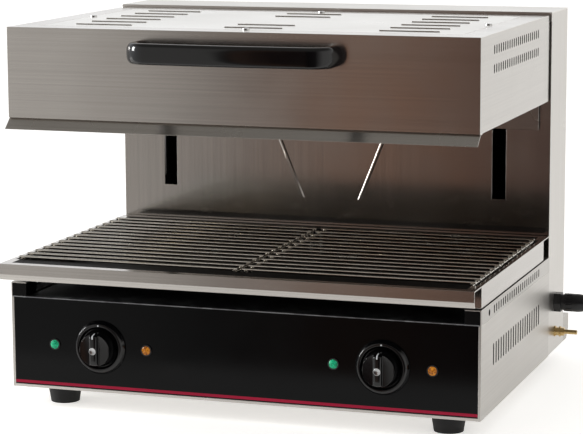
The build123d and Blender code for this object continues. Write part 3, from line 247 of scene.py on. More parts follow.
# ---- feet
# Moulded rubber feet, screwed up through the floor. Black rubber is matt, with a dusty grey
# bloom where it is handled. The hood's buffers on the guide rods are the same rubber.
def rubber(name):
    """Black rubber: fine pimpled bump 0.8 mm across and a broad dusty bloom."""
    material, tree, place = new_material(name)
    bloom = add(tree, "ShaderNodeTexNoise", {"Vector": place, "Scale": 60.0, "Detail": 4.0})
    colour = add(tree, "ShaderNodeMix", {0: bloom.outputs["Fac"], 6: linear("#050506"),
                                         7: linear("#0c0c0e")}, data_type="RGBA").outputs[2]
    rough = add(tree, "ShaderNodeMapRange", {0: bloom.outputs["Fac"], 3: 0.55, 4: 0.8}).outputs[0]
    pimples = add(tree, "ShaderNodeTexNoise", {"Vector": place, "Scale": 1200.0})
    relief = add(tree, "ShaderNodeBump", {"Height": pimples.outputs["Fac"], "Strength": 0.4,
                                          "Distance": 0.1 * mm})
    return surfaced(material, {"Base Color": colour, "Roughness": rough, "IOR": 1.52,
                               "Normal": relief.outputs[0]})


finish(rubber("black_rubber"), "rubber_feet", "hood_stops")


# ---- screws and other bright steel
# Screws, shafts and axles are turned or headed steel with a thin zinc plate: silvery, slightly
# blue, and a little cloudy, with faint turning marks.
def bright_plate(name, light, dark, roughness):
    """Bright plating: mottled tone 3 mm across, roughness that drifts, faint ripples."""
    material, tree, place = new_material(name)
    mottle = add(tree, "ShaderNodeTexNoise", {"Vector": place, "Scale": 320.0, "Detail": 3.0})
    drift = add(tree, "ShaderNodeTexNoise", {"Vector": place, "Scale": 26.0, "Detail": 2.0})
    colour = add(tree, "ShaderNodeMix", {0: mottle.outputs["Fac"], 6: linear(dark),
                                         7: linear(light)}, data_type="RGBA").outputs[2]
    rough = add(tree, "ShaderNodeMapRange", {0: drift.outputs["Fac"], 1: 0.3, 2: 0.7,
                                             3: roughness * 0.7, 4: roughness * 1.4}).outputs[0]
    relief = add(tree, "ShaderNodeBump", {"Height": mottle.outputs["Fac"], "Strength": 0.15,
                                          "Distance": 0.05 * mm})
    return surfaced(material, {"Base Color": colour, "Roughness": rough, "Metallic": 1.0,
                               "Normal": relief.outputs[0]})


zinc_plate = bright_plate("zinc_plated_steel", "#dcdcda", "#b4b5b6", 0.24)
finish(zinc_plate, "foot_screws", "left_knob_shaft", "right_knob_shaft", "hood_screws",
       "rear_cover_screws", "pulley_axles")


# ---- thermostats and terminal block
# The thermostats behind the panel are pressed zinc-coated cases. The mains terminal block
# beside them is unglazed white porcelain, chalky, with faint brown firing specks.
def porcelain(name, light, dark, roughness):
    """Fired ceramic: cream tone that drifts over 20 mm, brown specks 0.6 mm across, fine grain."""
    material, tree, place = new_material(name)
    drift = add(tree, "ShaderNodeTexNoise", {"Vector": place, "Scale": 50.0, "Detail": 3.0})
    tone = add(tree, "ShaderNodeMix", {0: drift.outputs["Fac"], 6: linear(dark),
                                       7: linear(light)}, data_type="RGBA").outputs[2]
    specks = add(tree, "ShaderNodeTexVoronoi", {"Vector": place, "Scale": 420.0})
    speck = add(tree, "ShaderNodeMapRange", {0: specks.outputs["Distance"], 1: 0.12, 2: 0.18,
                                             3: 0.6, 4: 0.0}).outputs[0]
    tone = add(tree, "ShaderNodeMix", {0: speck, 6: tone, 7: linear("#8a7558")},
               data_type="RGBA").outputs[2]
    grain = add(tree, "ShaderNodeTexNoise", {"Vector": place, "Scale": 1500.0})
    relief = add(tree, "ShaderNodeBump", {"Height": grain.outputs["Fac"], "Strength": 0.3,
                                          "Distance": 0.08 * mm})
    return surfaced(material, {"Base Color": tone, "Roughness": roughness, "IOR": 1.55,
                               "Normal": relief.outputs[0]})


finish(galvanised("zinc_coated_cases"), "thermostats")
finish(porcelain("unglazed_porcelain", "#ece7da", "#d9d2c1", 0.55), "terminal_block")


# ---- knob rings
# A dished ring moulded in glossy black phenolic stands round each knob, with one white dot
# printed at the top where the pointer rests. The gloss shows thin bright lines on its rim.
def skin(name, *grids):
    """A mesh object from grids of points: four neighbours of a grid make one face. Points that
    coincide are merged and the faces are turned outwards."""
    points, faces, start = [], [], 0
    for grid in grids:
        rows, columns = grid.shape[:2]
        index = start + np.arange(rows * columns).reshape(rows, columns)
        quads = np.stack((index[:-1, :-1], index[:-1, 1:], index[1:, 1:], index[1:, :-1]), -1)
        points.append(grid.reshape(-1, 3))
        faces.append(quads.reshape(-1, 4))
        start += rows * columns
    mesh = bpy.data.meshes.new(name)
    mesh.from_pydata(np.concatenate(points).tolist(), [], np.concatenate(faces).tolist())
    shape = bmesh.new()
    shape.from_mesh(mesh)
    bmesh.ops.remove_doubles(shape, verts=shape.verts, dist=0.001 * mm)
    bmesh.ops.dissolve_degenerate(shape, edges=shape.edges, dist=0.001 * mm)
    bmesh.ops.recalc_face_normals(shape, faces=shape.faces)
    shape.to_mesh(mesh)
    shape.free()
    mesh.polygons.foreach_set("use_smooth", np.ones(len(mesh.polygons), dtype=bool))
    piece = bpy.data.objects.new(name, mesh)
    bpy.context.scene.collection.objects.link(piece)
    return piece


def softened(profile, times=2):
    """Cuts each corner of a closed profile at a quarter of its two sides, again and again."""
    for _ in range(times):
        after = np.roll(profile, -1, axis=0)
        profile = np.stack((0.75 * profile + 0.25 * after, 0.25 * profile + 0.75 * after),
                           axis=1).reshape(-1, 2)
    return profile


def turned(profile, centre, columns=96):
    """Surface of revolution about an axis along Y: a profile of (radius, y) carried round."""
    angle = np.linspace(0.0, 2 * np.pi, columns + 1)
    radius, depth = profile[:, :1] * mm, profile[:, 1:] * mm
    return np.stack((centre[0] + radius * np.cos(angle), centre[1] + depth + 0 * angle,
                     centre[2] + radius * np.sin(angle)), axis=-1)


knob_centres = [((low.x + high.x) / 2, front_y, (low.z + high.z) / 2)
                for low, high in (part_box("left_knob_shaft"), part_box("right_knob_shaft"))]
corners = np.array([(12, -0.05), (22, -0.05), (33.3, -0.05), (33.5, -0.4), (33.5, -1.4),
                    (32.9, -2.4), (30.4, -6.2), (29.4, -7.0), (26.7, -7.0), (25.9, -6.4),
                    (25.1, -2.2), (24.4, -1.6), (12.2, -1.6), (12, -1.4)])
ring_profile = softened(corners)
ring_profile = np.concatenate((ring_profile, ring_profile[:1]))
knob_rings = skin("knob_rings", *[turned(ring_profile, centre) for centre in knob_centres])


def moulded_black(name, dark, light, roughness):
    """Moulded black plastic: faint flow marks 6 mm wide, dust-fine grain, clear gloss."""
    material, tree, place = new_material(name)
    flow = add(tree, "ShaderNodeTexNoise", {"Vector": place, "Scale": 160.0, "Detail": 2.0,
                                            "Distortion": 0.6})
    colour = add(tree, "ShaderNodeMix", {0: flow.outputs["Fac"], 6: linear(dark),
                                         7: linear(light)}, data_type="RGBA").outputs[2]
    wear = add(tree, "ShaderNodeTexNoise", {"Vector": place, "Scale": 34.0, "Detail": 4.0})
    rough = add(tree, "ShaderNodeMapRange", {0: wear.outputs["Fac"], 1: 0.3, 2: 0.7,
                                             3: roughness * 0.7, 4: roughness * 1.5}).outputs[0]
    grain = add(tree, "ShaderNodeTexNoise", {"Vector": place, "Scale": 1800.0})
    relief = add(tree, "ShaderNodeBump", {"Height": grain.outputs["Fac"], "Strength": 0.08,
                                          "Distance": 0.03 * mm})
    return surfaced(material, {"Base Color": colour, "Roughness": rough, "IOR": 1.5,
                               "Normal": relief.outputs[0]})


phenolic = moulded_black("moulded_phenolic", "#040405", "#08080a", 0.12)
knob_rings.data.materials.append(phenolic)
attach(knob_rings, "base")
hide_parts("knob_bezels")


# A printed dot is a thin drop of white ink: domed, 2 mm across.
def printed_white(name):
    """White screen ink: slightly grey where it is thin, 1 mm mottle, half matt."""
    material, tree, place = new_material(name)
    mottle = add(tree, "ShaderNodeTexNoise", {"Vector": place, "Scale": 900.0, "Detail": 2.0})
    colour = add(tree, "ShaderNodeMix", {0: mottle.outputs["Fac"], 6: linear("#b9bcc0"),
                                         7: linear("#e6e7e8")}, data_type="RGBA").outputs[2]
    relief = add(tree, "ShaderNodeBump", {"Height": mottle.outputs["Fac"], "Strength": 0.2,
                                          "Distance": 0.03 * mm})
    return surfaced(material, {"Base Color": colour, "Roughness": 0.45,
                               "Normal": relief.outputs[0]})


white_ink = printed_white("white_screen_ink")
dot_rise = 28.0 * mm                             # from the knob's axis to the dot
dot_profile = np.array([(0.0, -7.35), (0.6, -7.3), (1.0, -7.1), (1.1, -6.9), (0.0, -6.9)])
ring_dots = skin("ring_dots", *[turned(dot_profile, (x, y, z + dot_rise), columns=16)
                                for x, y, z in knob_centres])
ring_dots.data.materials.append(white_ink)
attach(ring_dots, "base")


# ---- knobs
# Each knob is one glossy phenolic moulding: a cone 17 mm deep with a finger bar across its
# face, a bright disc let into the bar and a white pointer line that bends over the bar's end.
def knob_face(centre, back, front, radius, bar_half, bar_rise):
    """Front of a knob over chords of its disc: x runs across, and v from -1 to 1 along the
    chord at x. The bar stands bar_rise * (1 - |x/bar_half|^5)^0.5 over the face and fades
    as 1 - |v|^14 at its ends; the face itself sinks 0.8 mm towards its middle. Behind it, the
    side widens to the foot, which is flat round the shaft's bore."""
    foot_radius, bore_radius = 23.0, 3.2
    across = np.concatenate((np.linspace(-1, -0.3, 14, endpoint=False) * radius,
                             bar_half * np.sin(np.linspace(-np.pi / 2, np.pi / 2, 29)),
                             np.linspace(0.3, 1, 15)[1:] * radius))[:, None]
    along = np.sin(np.linspace(-np.pi / 2, np.pi / 2, 41))[None, :]
    z = along * np.sqrt(np.maximum(radius ** 2 - across ** 2, 0.0))
    across = across + 0 * z
    on_bar = np.clip(1 - np.abs(across / bar_half) ** 5, 0.0, 1.0) ** 0.5
    rise = bar_rise * on_bar * (1 - np.abs(along) ** 14)
    sink = 0.8 * (1 - (across ** 2 + z ** 2) / radius ** 2) * (1 - on_bar)
    grid = np.stack((across, front - rise + sink, z), -1)
    rim_x = across[:, 0]
    rim_z = np.sqrt(np.maximum(radius ** 2 - rim_x ** 2, 0.0))
    loop_x = np.concatenate((rim_x, rim_x[-2::-1])) / radius
    loop_z = np.concatenate((rim_z, -rim_z[-2::-1])) / radius
    radii = np.array([radius, radius + 0.25, radius + 0.5, foot_radius - 0.3, foot_radius,
                      foot_radius, foot_radius - 0.2, bore_radius])[:, None]
    depths = np.array([front, front + 0.3, front + 1.2, back - 3.6, back - 2.6, back - 0.4,
                       back, back])[:, None]
    side = np.stack((radii * loop_x, depths + 0 * loop_x, radii * loop_z), -1)
    floor = np.stack((np.stack((bore_radius * loop_x, back + 0 * loop_x, bore_radius * loop_z), -1),
                      np.stack((0 * loop_x, back + 0 * loop_x, 0 * loop_x), -1)))
    return [np.array(centre) + mm * part for part in (grid, side, floor)]


disc_profile = np.array([(0.0, -25.3), (3.6, -25.3), (4.0, -25.5), (4.4, -25.5), (4.6, -25.3),
                         (4.6, -24.9), (0.0, -24.9)])
# the pointer's cross-sections from the disc over the bar's end, in mm from the knob's centre
line_y = np.array([-25.0, -25.22, -25.1, -24.2, -21.6, -20.2, -17.4, -17.2])[:, None]
line_z = np.array([14.8, 15.0, 17.6, 18.9, 19.75, 19.95, 20.7, 20.4])[:, None]
width = np.array([-0.8, -0.7, 0.7, 0.8])[None, :]
lift = np.array([0.35, 0.0, 0.0, 0.35])[None, :]
pointer_strip = np.stack((width + 0 * line_y, line_y + lift, line_z - 0.5 * lift), -1)
knob_disc = bright_plate("spun_aluminium", "#d4d4d4", "#8b8d90", 0.2)
for side, centre in zip(("left", "right"), knob_centres):
    face = knob_face(centre, back=-3.1, front=-20.1, radius=19.5, bar_half=5.5, bar_rise=5.0)
    grip = skin(side + "_knob_grip", *face)
    grip.data.materials.append(phenolic)
    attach(grip, side + "_knob")
    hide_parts(side + "_knob")
    disc = skin(side + "_knob_disc", turned(disc_profile, centre, columns=48))
    disc.data.materials.append(knob_disc)
    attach(disc, side + "_knob")
    pointer = skin(side + "_knob_pointer", np.array(centre) + mm * pointer_strip)
    pointer.data.materials.append(white_ink)
    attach(pointer, side + "_knob")


# ---- pilot lamps
# Neon pilot lamps: a black nylon case clipped into the panel, and a domed polycarbonate lens
# with prisms moulded inside, so the unlit lens shows small light and dark facets.
def prismatic_lens(name, light, dark, glow):
    """Coloured clear plastic: cells 1.6 mm across tilt the surface and change its depth of
    colour, as the prisms behind it do; a trace of light from inside; polished outside."""
    material, tree, place = new_material(name)
    cells = add(tree, "ShaderNodeTexVoronoi", {"Vector": place, "Scale": 620.0})
    shade = add(tree, "ShaderNodeSeparateColor", {0: cells.outputs["Color"]}).outputs[0]
    colour = add(tree, "ShaderNodeMix", {0: shade, 6: linear(dark), 7: linear(light)},
                 data_type="RGBA").outputs[2]
    relief = add(tree, "ShaderNodeBump", {"Height": cells.outputs["Distance"], "Strength": 0.5,
                                          "Distance": 0.4 * mm})
    return surfaced(material, {"Base Color": colour, "Roughness": 0.22, "Specular IOR Level": 0.3,
                               "Emission Color": colour, "Emission Strength": glow,
                               "Normal": relief.outputs[0]})


finish(prismatic_lens("green_polycarbonate", "#14b07c", "#0a6446", 0.35), "green_lamp_lenses")
finish(prismatic_lens("amber_polycarbonate", "#dc8c22", "#6a2f04", 0.2), "amber_lamp_lenses")
finish(moulded_black("moulded_nylon_cases", "#0a0a0b", "#141416", 0.35), "lamp_housings")


# ---- grill tray
# Folded stainless tray with a deep front lip. Its floor and inner walls are painted near-black
# and rougher: painted shade under the racks and hood; the lip and the side rims stay clean and
# brushed.
finish(brushed_steel("brushed_stainless_tray", "#ccc8c3", "#a8a49f", "x", 0.2,
                     inside=within("grill_tray", by=(12.0, 12.0, -1.0))), "grill_tray")


# ---- wire racks
# Chromed steel wire, spot-welded on two rails: a near mirror, so each wire shows one thin
# bright line and is dark elsewhere. The welds leave small brownish beads at the crossings.
finish(bright_plate("chromed_rack_wire", "#f6f3ec", "#cfcac1", 0.2), "left_rack", "right_rack")
weld_steel = bright_plate("burnt_weld_beads", "#8d8378", "#4a423b", 0.4)
wire = 3.6 * mm
rail_inset = 4 * mm                              # from the rack's side to its rail's axis
wire_count = 14
weld_radius, weld_height = 2.5, 0.9
for side in ("left", "right"):
    low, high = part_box(side + "_rack")
    rails, wires = np.meshgrid((low.x + rail_inset, high.x - rail_inset),
                               np.linspace(low.y + wire, high.y - wire, wire_count))
    turn, rise = np.meshgrid(np.linspace(0, 2 * np.pi, 9), np.linspace(-np.pi / 2, np.pi / 2, 5))
    bead = mm * np.stack((weld_radius * np.cos(turn) * np.cos(rise),
                          weld_radius * np.sin(turn) * np.cos(rise),
                          weld_height * np.sin(rise)), -1)
    laps = np.stack((rails.ravel(), wires.ravel(), np.full(rails.size, high.z - wire)), -1)
    welds = skin(side + "_rack_welds", *(laps[:, None, None, :] + bead))
    welds.data.materials.append(weld_steel)
    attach(welds, side + "_rack")


# ---- column
# The column's front sheet has its grit lines upright and a bright protective polish; the two
# pressed beads catch the light. Sides, rear cover and top are the same sheet; the up-facing top
# is given a paler tone of it as painted light.
finish(brushed_steel("brushed_stainless_front_sheet", "#c8c4bf", "#a6a29d", "z", 0.16),
       "back_panel")
finish(brushed_steel("brushed_stainless_column", "#dedbd6", "#c6c2bd", "z", 0.3,
                     inside=within("column_left_side", "column_right_side", "column_rear_cover",
                                   by=(0.7, 0.7, 0.7))),
       "column_left_side", "column_right_side", "column_rear_cover")
# painted light: the top is a paler copy of the column's sheet
finish(brushed_steel("brushed_stainless_top", "#e6e4e0", "#d2cfca", "x", 0.3), "column_top")


# ---- cable gland and earth stud
# The gland is moulded black nylon, satin, with a ribbed dome nut. The earth stud beside it
# and its nuts are drawn brass, with a warm and slightly tarnished tone.
def drawn_brass(name):
    """Brass: yellow to brown tarnish in 4 mm clouds, rougher where it has dulled."""
    material, tree, place = new_material(name)
    tarnish = add(tree, "ShaderNodeTexNoise", {"Vector": place, "Scale": 240.0, "Detail": 4.0})
    colour = add(tree, "ShaderNodeMix", {0: tarnish.outputs["Fac"], 6: linear("#b28a4c"),
                                         7: linear("#efd9a2")}, data_type="RGBA").outputs[2]
    rough = add(tree, "ShaderNodeMapRange", {0: tarnish.outputs["Fac"], 3: 0.42,
                                             4: 0.18}).outputs[0]
    return surfaced(material, {"Base Color": colour, "Roughness": rough, "Metallic": 1.0})


finish(moulded_black("moulded_nylon_gland", "#0b0b0c", "#161618", 0.32), "cable_gland_body",
       "cable_gland_nut")
finish(drawn_brass("drawn_brass"), "earth_stud", "earth_nuts")


# ---- lift inside the column
# Ground and hardened guide rods, sintered bronze bushes, nylon rope pulleys on plated axles
# and a cast weight in grey primer. Brackets, guides and the carriage plate are galvanised
# sheet; the lift arms are brushed stainless.
finish(bright_plate("ground_hardened_rod", "#e2e2e0", "#b8b8b8", 0.12), "guide_rods")
finish(zinc, "rod_brackets", "pulley_brackets", "weight_guides", "carriage_plate")
finish(brushed_steel("brushed_stainless_arms", "#c8c4c0", "#a29e9a", "x", 0.3), "lift_arms")


def sintered_bronze(name):
    """Oil-filled sintered bronze: brown metal with 0.4 mm pores and an oily, broad gloss."""
    material, tree, place = new_material(name)
    pores = add(tree, "ShaderNodeTexVoronoi", {"Vector": place, "Scale": 1600.0})
    colour = add(tree, "ShaderNodeMix", {0: pores.outputs["Distance"], 6: linear("#5a4128"),
                                         7: linear("#a17a4c")}, data_type="RGBA").outputs[2]
    relief = add(tree, "ShaderNodeBump", {"Height": pores.outputs["Distance"], "Strength": 0.3,
                                          "Distance": 0.1 * mm})
    return surfaced(material, {"Base Color": colour, "Roughness": 0.42, "Metallic": 1.0,
                               "Normal": relief.outputs[0]})


finish(sintered_bronze("sintered_bronze"), "slide_bushes")
finish(moulded_black("moulded_nylon_pulleys", "#1b1b1d", "#2b2b2e", 0.4), "left_pulley",
       "right_pulley")


def primed_casting(name):
    """Cast iron in grey primer: sand-cast pits 2 mm across, drifts of tone, matt."""
    material, tree, place = new_material(name)
    cast = add(tree, "ShaderNodeTexNoise", {"Vector": place, "Scale": 480.0, "Detail": 3.0})
    drift = add(tree, "ShaderNodeTexNoise", {"Vector": place, "Scale": 22.0, "Detail": 3.0})
    colour = add(tree, "ShaderNodeMix", {0: drift.outputs["Fac"], 6: linear("#3e3f42"),
                                         7: linear("#56585c")}, data_type="RGBA").outputs[2]
    relief = add(tree, "ShaderNodeBump", {"Height": cast.outputs["Fac"], "Strength": 0.6,
                                          "Distance": 0.4 * mm})
    return surfaced(material, {"Base Color": colour, "Roughness": 0.6,
                               "Normal": relief.outputs[0]})


finish(primed_casting("grey_primed_casting"), "counterweight")


def wire_rope(name):
    """Galvanised wire rope, 6 strands: slanting bands every 2.4 mm along Z tilt the surface and
    paint the valleys between strands darker as shade; finer bands are the single wires."""
    material, tree, place = new_material(name)
    slant = add(tree, "ShaderNodeMapping", {"Vector": place, "Rotation": (0.6, 0.3, 0.0)})
    strands = add(tree, "ShaderNodeTexWave", {"Vector": slant.outputs[0], "Scale": 66.0,
                                              "Distortion": 0.4}, bands_direction="Z")
    wires = add(tree, "ShaderNodeTexWave", {"Vector": slant.outputs[0], "Scale": 260.0},
                bands_direction="Z")
    height = add(tree, "ShaderNodeMix", {0: 0.3, 2: strands.outputs["Fac"],
                                         3: wires.outputs["Fac"]}).outputs[0]
    colour = add(tree, "ShaderNodeMix", {0: height, 6: linear("#4c4c4b"), 7: linear("#b9b9b4")},
                 data_type="RGBA").outputs[2]
    relief = add(tree, "ShaderNodeBump", {"Height": height, "Strength": 0.8,
                                          "Distance": 0.5 * mm})
    return surfaced(material, {"Base Color": colour, "Roughness": 0.35, "Metallic": 1.0,
                               "Normal": relief.outputs[0]})


rope_radius = 1.5
ferrule_radius, ferrule_length = 3.5, 10.0


def rope_runs(name, node):
    """Two straight runs of rope, each a profile of (radius, z) turned about Z: a ferrule with
    0.4 mm chamfers on what it carries, and the rope, with no ring between its two ends."""
    low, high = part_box(node)
    wide, narrow, rim = ferrule_radius, ferrule_radius - 0.4, ferrule_length - 0.4
    side, middle, top = high.x - wide * mm, (low.y + high.y) / 2, (high.z - low.z) / mm
    profile = np.array([(0, 0), (narrow, 0), (wide, 0.4), (wide, rim), (narrow, ferrule_length),
                        (rope_radius, ferrule_length), (rope_radius, top), (0, top)])
    piece = skin(name, *[turned(profile, (x, low.z, middle), columns=20)[..., [0, 2, 1]]
                         for x in (-side, side)])
    piece.data.set_sharp_from_angle(angle=0.6)
    piece.data.materials.append(rope_material)
    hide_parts(node)
    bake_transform(piece)


# In the grill, the straight runs pass over the pulleys as the hood moves: each run's top stays
# at its pulley and its ferrule goes with the hood or with the weight, so one gets longer and one
# shorter. The pieces here are built as the runs lie at rest and are not attached to a body.
rope_material = wire_rope("galvanised_wire_rope")
finish(rope_material, "pulley_rope_bends")
rope_runs("hood_rope_runs", "hood_ropes")
rope_runs("weight_rope_runs", "weight_ropes")


# ---- hood
# The hood is folded and spot-welded from the same brushed sheet, with its grit lines along X.
# Its front is the cleanest face; inside, the sheet is rougher and painted near-black as shade.
finish(brushed_steel("brushed_stainless_hood", "#cfcbc6", "#b0aca7", "x", 0.19,
                     inside=within("hood_shell")), "hood_shell")
# painted light: the up-facing top cover is a much paler copy of the hood's sheet
finish(brushed_steel("brushed_stainless_cover", "#f3f2ef", "#e4e2de", "x", 0.3),
       "hood_top_cover")
finish(brushed_steel("brushed_stainless_lip", "#d0ccc7", "#b2aea9", "x", 0.26), "hood_lip",
       "hood_rear_shield")


# ---- heating part of the hood
# The reflector is mirror-polished sheet that has browned over the elements. The tubular
# elements have an oxidised, matt green-black skin; the strips that carry them are heat-blued.
def heated_metal(name, tones, size, roughness):
    """Heat-stained metal: clouds of the given size in metres run through the tones in turn,
    over a fine scale that roughens the darker parts."""
    material, tree, place = new_material(name)
    clouds = add(tree, "ShaderNodeTexNoise", {"Vector": place, "Scale": 1 / size, "Detail": 4.0})
    ramp = add(tree, "ShaderNodeValToRGB", {0: clouds.outputs["Fac"]})
    ramp.color_ramp.elements[0].position = 0.35
    ramp.color_ramp.elements[0].color = linear(tones[0])
    ramp.color_ramp.elements[1].position = 0.65
    ramp.color_ramp.elements[1].color = linear(tones[2])
    ramp.color_ramp.elements.new(0.5).color = linear(tones[1])
    scale = add(tree, "ShaderNodeTexNoise", {"Vector": place, "Scale": 900.0, "Detail": 2.0})
    rough = add(tree, "ShaderNodeMapRange", {0: scale.outputs["Fac"], 3: roughness * 0.8,
                                             4: roughness * 1.3}).outputs[0]
    relief = add(tree, "ShaderNodeBump", {"Height": scale.outputs["Fac"], "Strength": 0.25,
                                          "Distance": 0.1 * mm})
    return surfaced(material, {"Base Color": ramp.outputs["Color"], "Roughness": rough,
                               "Metallic": 1.0, "Normal": relief.outputs[0]})


finish(heated_metal("browned_polished_sheet", ("#8d7a5e", "#b6aa95", "#cfcbc2"), 0.07, 0.16),
       "reflector")
finish(heated_metal("oxidised_element_tube", ("#23261f", "#34352d", "#474338"), 0.03, 0.55),
       "heating_elements")
finish(heated_metal("heat_blued_strip", ("#3b4157", "#6b5a52", "#8c8579"), 0.04, 0.35),
       "element_brackets")
finish(porcelain("steatite_bushes", "#e6dcc6", "#cdbf9f", 0.45), "element_bushings")


# ---- insulation mat
# Needled ceramic fibre, 25 mm thick, laid loosely on the reflector: soft rounded edges, a
# lumpy surface and a short white fuzz.
source = bpy.data.objects.new("fibre_mat_source", nodes["insulation_mat"].data.copy())
bpy.context.scene.collection.objects.link(source)
shape = bmesh.new()
shape.from_mesh(source.data)
bmesh.ops.remove_doubles(shape, verts=shape.verts, dist=0.01 * mm)
shape.to_mesh(source.data)
shape.free()
remesh = source.modifiers.new("even_faces", "REMESH")
remesh.mode = "VOXEL"
remesh.voxel_size = 5 * mm
evaluated = source.evaluated_get(bpy.context.evaluated_depsgraph_get())
mat_mesh = bpy.data.meshes.new_from_object(evaluated)
mat_mesh.name = "fibre_mat"
bpy.data.objects.remove(source)
count = len(mat_mesh.vertices)
co, normal = np.empty(count * 3), np.empty(count * 3)
mat_mesh.vertices.foreach_get("co", co)
mat_mesh.vertices.foreach_get("normal", normal)
co, normal = co.reshape(-1, 3), normal.reshape(-1, 3)
# lumps: three crossed sine waves 61, 37 and 13 mm long, and each vertex sinks 0.8 to 2.8 mm
lump = (np.sin(co[:, 0] * 103 + 1.3 * np.sin(co[:, 1] * 71))
        + np.sin(co[:, 1] * 170 + 2.1 * np.sin(co[:, 0] * 59))
        + np.sin((co[:, 0] + co[:, 1]) * 331)) / 3
co = co - normal * (1.8 + lump[:, None]) * mm
mat_mesh.vertices.foreach_set("co", co.ravel())
mat_mesh.polygons.foreach_set("use_smooth", np.ones(len(mat_mesh.polygons), dtype=bool))
mat_mesh.materials.clear()
fibre_mat = bpy.data.objects.new("fibre_mat", mat_mesh)
bpy.context.scene.collection.objects.link(fibre_mat)


def needled_fibre(name):
    """Ceramic fibre blanket: cream clouds, a dense 0.5 mm tangle in the bump, fully matt."""
    material, tree, place = new_material(name)
    tangle = add(tree, "ShaderNodeTexNoise", {"Vector": place, "Scale": 1400.0, "Detail": 4.0,
                                              "Distortion": 2.0})
    cloud = add(tree, "ShaderNodeTexNoise", {"Vector": place, "Scale": 30.0, "Detail": 3.0})
    colour = add(tree, "ShaderNodeMix", {0: cloud.outputs["Fac"], 6: linear("#d8d3c6"),
                                         7: linear("#efece4")}, data_type="RGBA").outputs[2]
    relief = add(tree, "ShaderNodeBump", {"Height": tangle.outputs["Fac"], "Strength": 0.8,
                                          "Distance": 0.4 * mm})
    return surfaced(material, {"Base Color": colour, "Roughness": 0.95, "Sheen Weight": 0.3,
                               "Normal": relief.outputs[0]})


mat_mesh.materials.append(needled_fibre("needled_ceramic_fibre"))
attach(fibre_mat, "hood")
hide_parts("insulation_mat")


# ---- handle
# A stout bowed bar, moulded in glossy black phenolic round a steel core, screwed on from
# inside the hood. It shows a thin white line along its top and bright spots at both bends.
def arc(centre, radius, first, last, count):
    """Points on a circle from one angle to another, and the headings there, a quarter turn
    further in the direction of travel."""
    turn = np.linspace(first, last, count)
    points = np.array(centre) + radius * np.stack((np.cos(turn), np.sin(turn)), -1)
    return points, turn + np.pi / 2


def handle_bar(low, high):
    """Superellipse section |u|^3.2 + |v|^3.2 = 1 carried along the bar's centre line. The line
    leaves the hood along -Y, turns on an arc, bows forward on a wide arc and comes back the same
    way. The half height follows a rounded rectangle, seen from the front."""
    half, thick, tall, corner = 124.5, 17.0, 25.5, 11.0
    reach, bend_radius, bow_height, bow_radius = 34.0, 26.0, 6.0, 800.0
    slope = np.arctan(bow_height / half)
    back = (high.y - low.y) / mm                  # the hood's face, counted from the bar's front
    out = back - reach                            # the bar's ends on this count
    ease = bend_radius * np.tan((np.pi / 2 - slope) / 2)
    bend = arc((-half + bend_radius, out + ease), bend_radius, np.pi, 1.5 * np.pi - slope, 24)
    bow = arc((0.0, out - bow_height + bow_radius / np.cos(slope)), bow_radius,
              -np.pi / 2 - slope, -np.pi / 2, 16)
    leg = np.stack((np.full(6, -half), np.linspace(back - 0.05, out + ease, 7)[:-1]), -1)
    points = np.concatenate((leg, bend[0], bow[0]))
    heading = np.concatenate((np.full(6, -np.pi / 2), bend[1] - 2 * np.pi, bow[1]))
    points = np.concatenate((points, points[-2::-1] * (-1, 1)))
    heading = np.concatenate((heading, -heading[-2::-1]))
    turn = np.linspace(0, 2 * np.pi, 49)
    width = np.sign(np.cos(turn)) * np.abs(np.cos(turn)) ** (2 / 3.2) * thick / 2
    height = np.sign(np.sin(turn)) * np.abs(np.sin(turn)) ** (2 / 3.2) * tall / 2
    x = points[:, :1] - np.sin(heading)[:, None] * width
    y = points[:, 1:] + np.cos(heading)[:, None] * width
    past = np.clip(np.abs(x) - (half + thick / 2 - corner), 0.0, corner - 0.1)
    z = height * (tall / 2 - corner + np.sqrt(corner ** 2 - past ** 2)) / (tall / 2)
    middle_z = (low.z + high.z) / 2
    grid = np.stack((middle_x + x * mm, low.y + y * mm, middle_z + z * mm), -1)
    caps = [np.stack((ring, np.broadcast_to(ring.mean(axis=0), ring.shape)))
            for ring in (grid[0], grid[-1])]
    return [grid, *caps]


handle = skin("handle_bar", *handle_bar(*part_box("handle")))
handle.data.materials.append(moulded_black("moulded_phenolic_handle", "#030304", "#060607", 0.1))
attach(handle, "hood")
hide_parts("handle")


# ---- studio
# A pale table top whose front edge is just out of the picture, a tall window lamp at the left,
# and a room that is bright behind and at the sides and dark brown in front.
def card(name, x, y, z):
    """A flat rectangle between the limits of x and y, at height z."""
    mesh = bpy.data.meshes.new(name)
    corners = [(x[0], y[0], z), (x[1], y[0], z), (x[1], y[1], z), (x[0], y[1], z)]
    mesh.from_pydata(corners, [], [(0, 1, 2, 3)])
    piece = bpy.data.objects.new(name, mesh)
    bpy.context.scene.collection.objects.link(piece)
    return piece


table = card("table_top", (-4.0, 4.0), (-0.5, 9.0), 0.0)
table_white, tree, place = new_material("pale_table")
cloudy = add(tree, "ShaderNodeTexNoise", {"Vector": place, "Scale": 3.0}).outputs["Fac"]
tone = add(tree, "ShaderNodeMix", {0: cloudy, 6: linear("#ecebe9"), 7: linear("#f3f2f0")},
           data_type="RGBA").outputs[2]
rays = add(tree, "ShaderNodeLightPath")
mirrored = add(tree, "ShaderNodeMath", {0: rays.outputs["Is Camera Ray"],
                                        1: rays.outputs["Is Glossy Ray"]}, operation="MAXIMUM")
own_light = add(tree, "ShaderNodeMapRange", {0: mirrored.outputs[0], 3: 0.0, 4: 0.35}).outputs[0]
own_light = add(tree, "ShaderNodeMath", {0: rays.outputs["Is Camera Ray"], 1: 0.25, 2: own_light},
                operation="MULTIPLY_ADD").outputs[0]
surfaced(table_white, {"Base Color": tone, "Roughness": 0.7, "Emission Color": tone,
                       "Emission Strength": own_light})
table.data.materials.append(table_white)

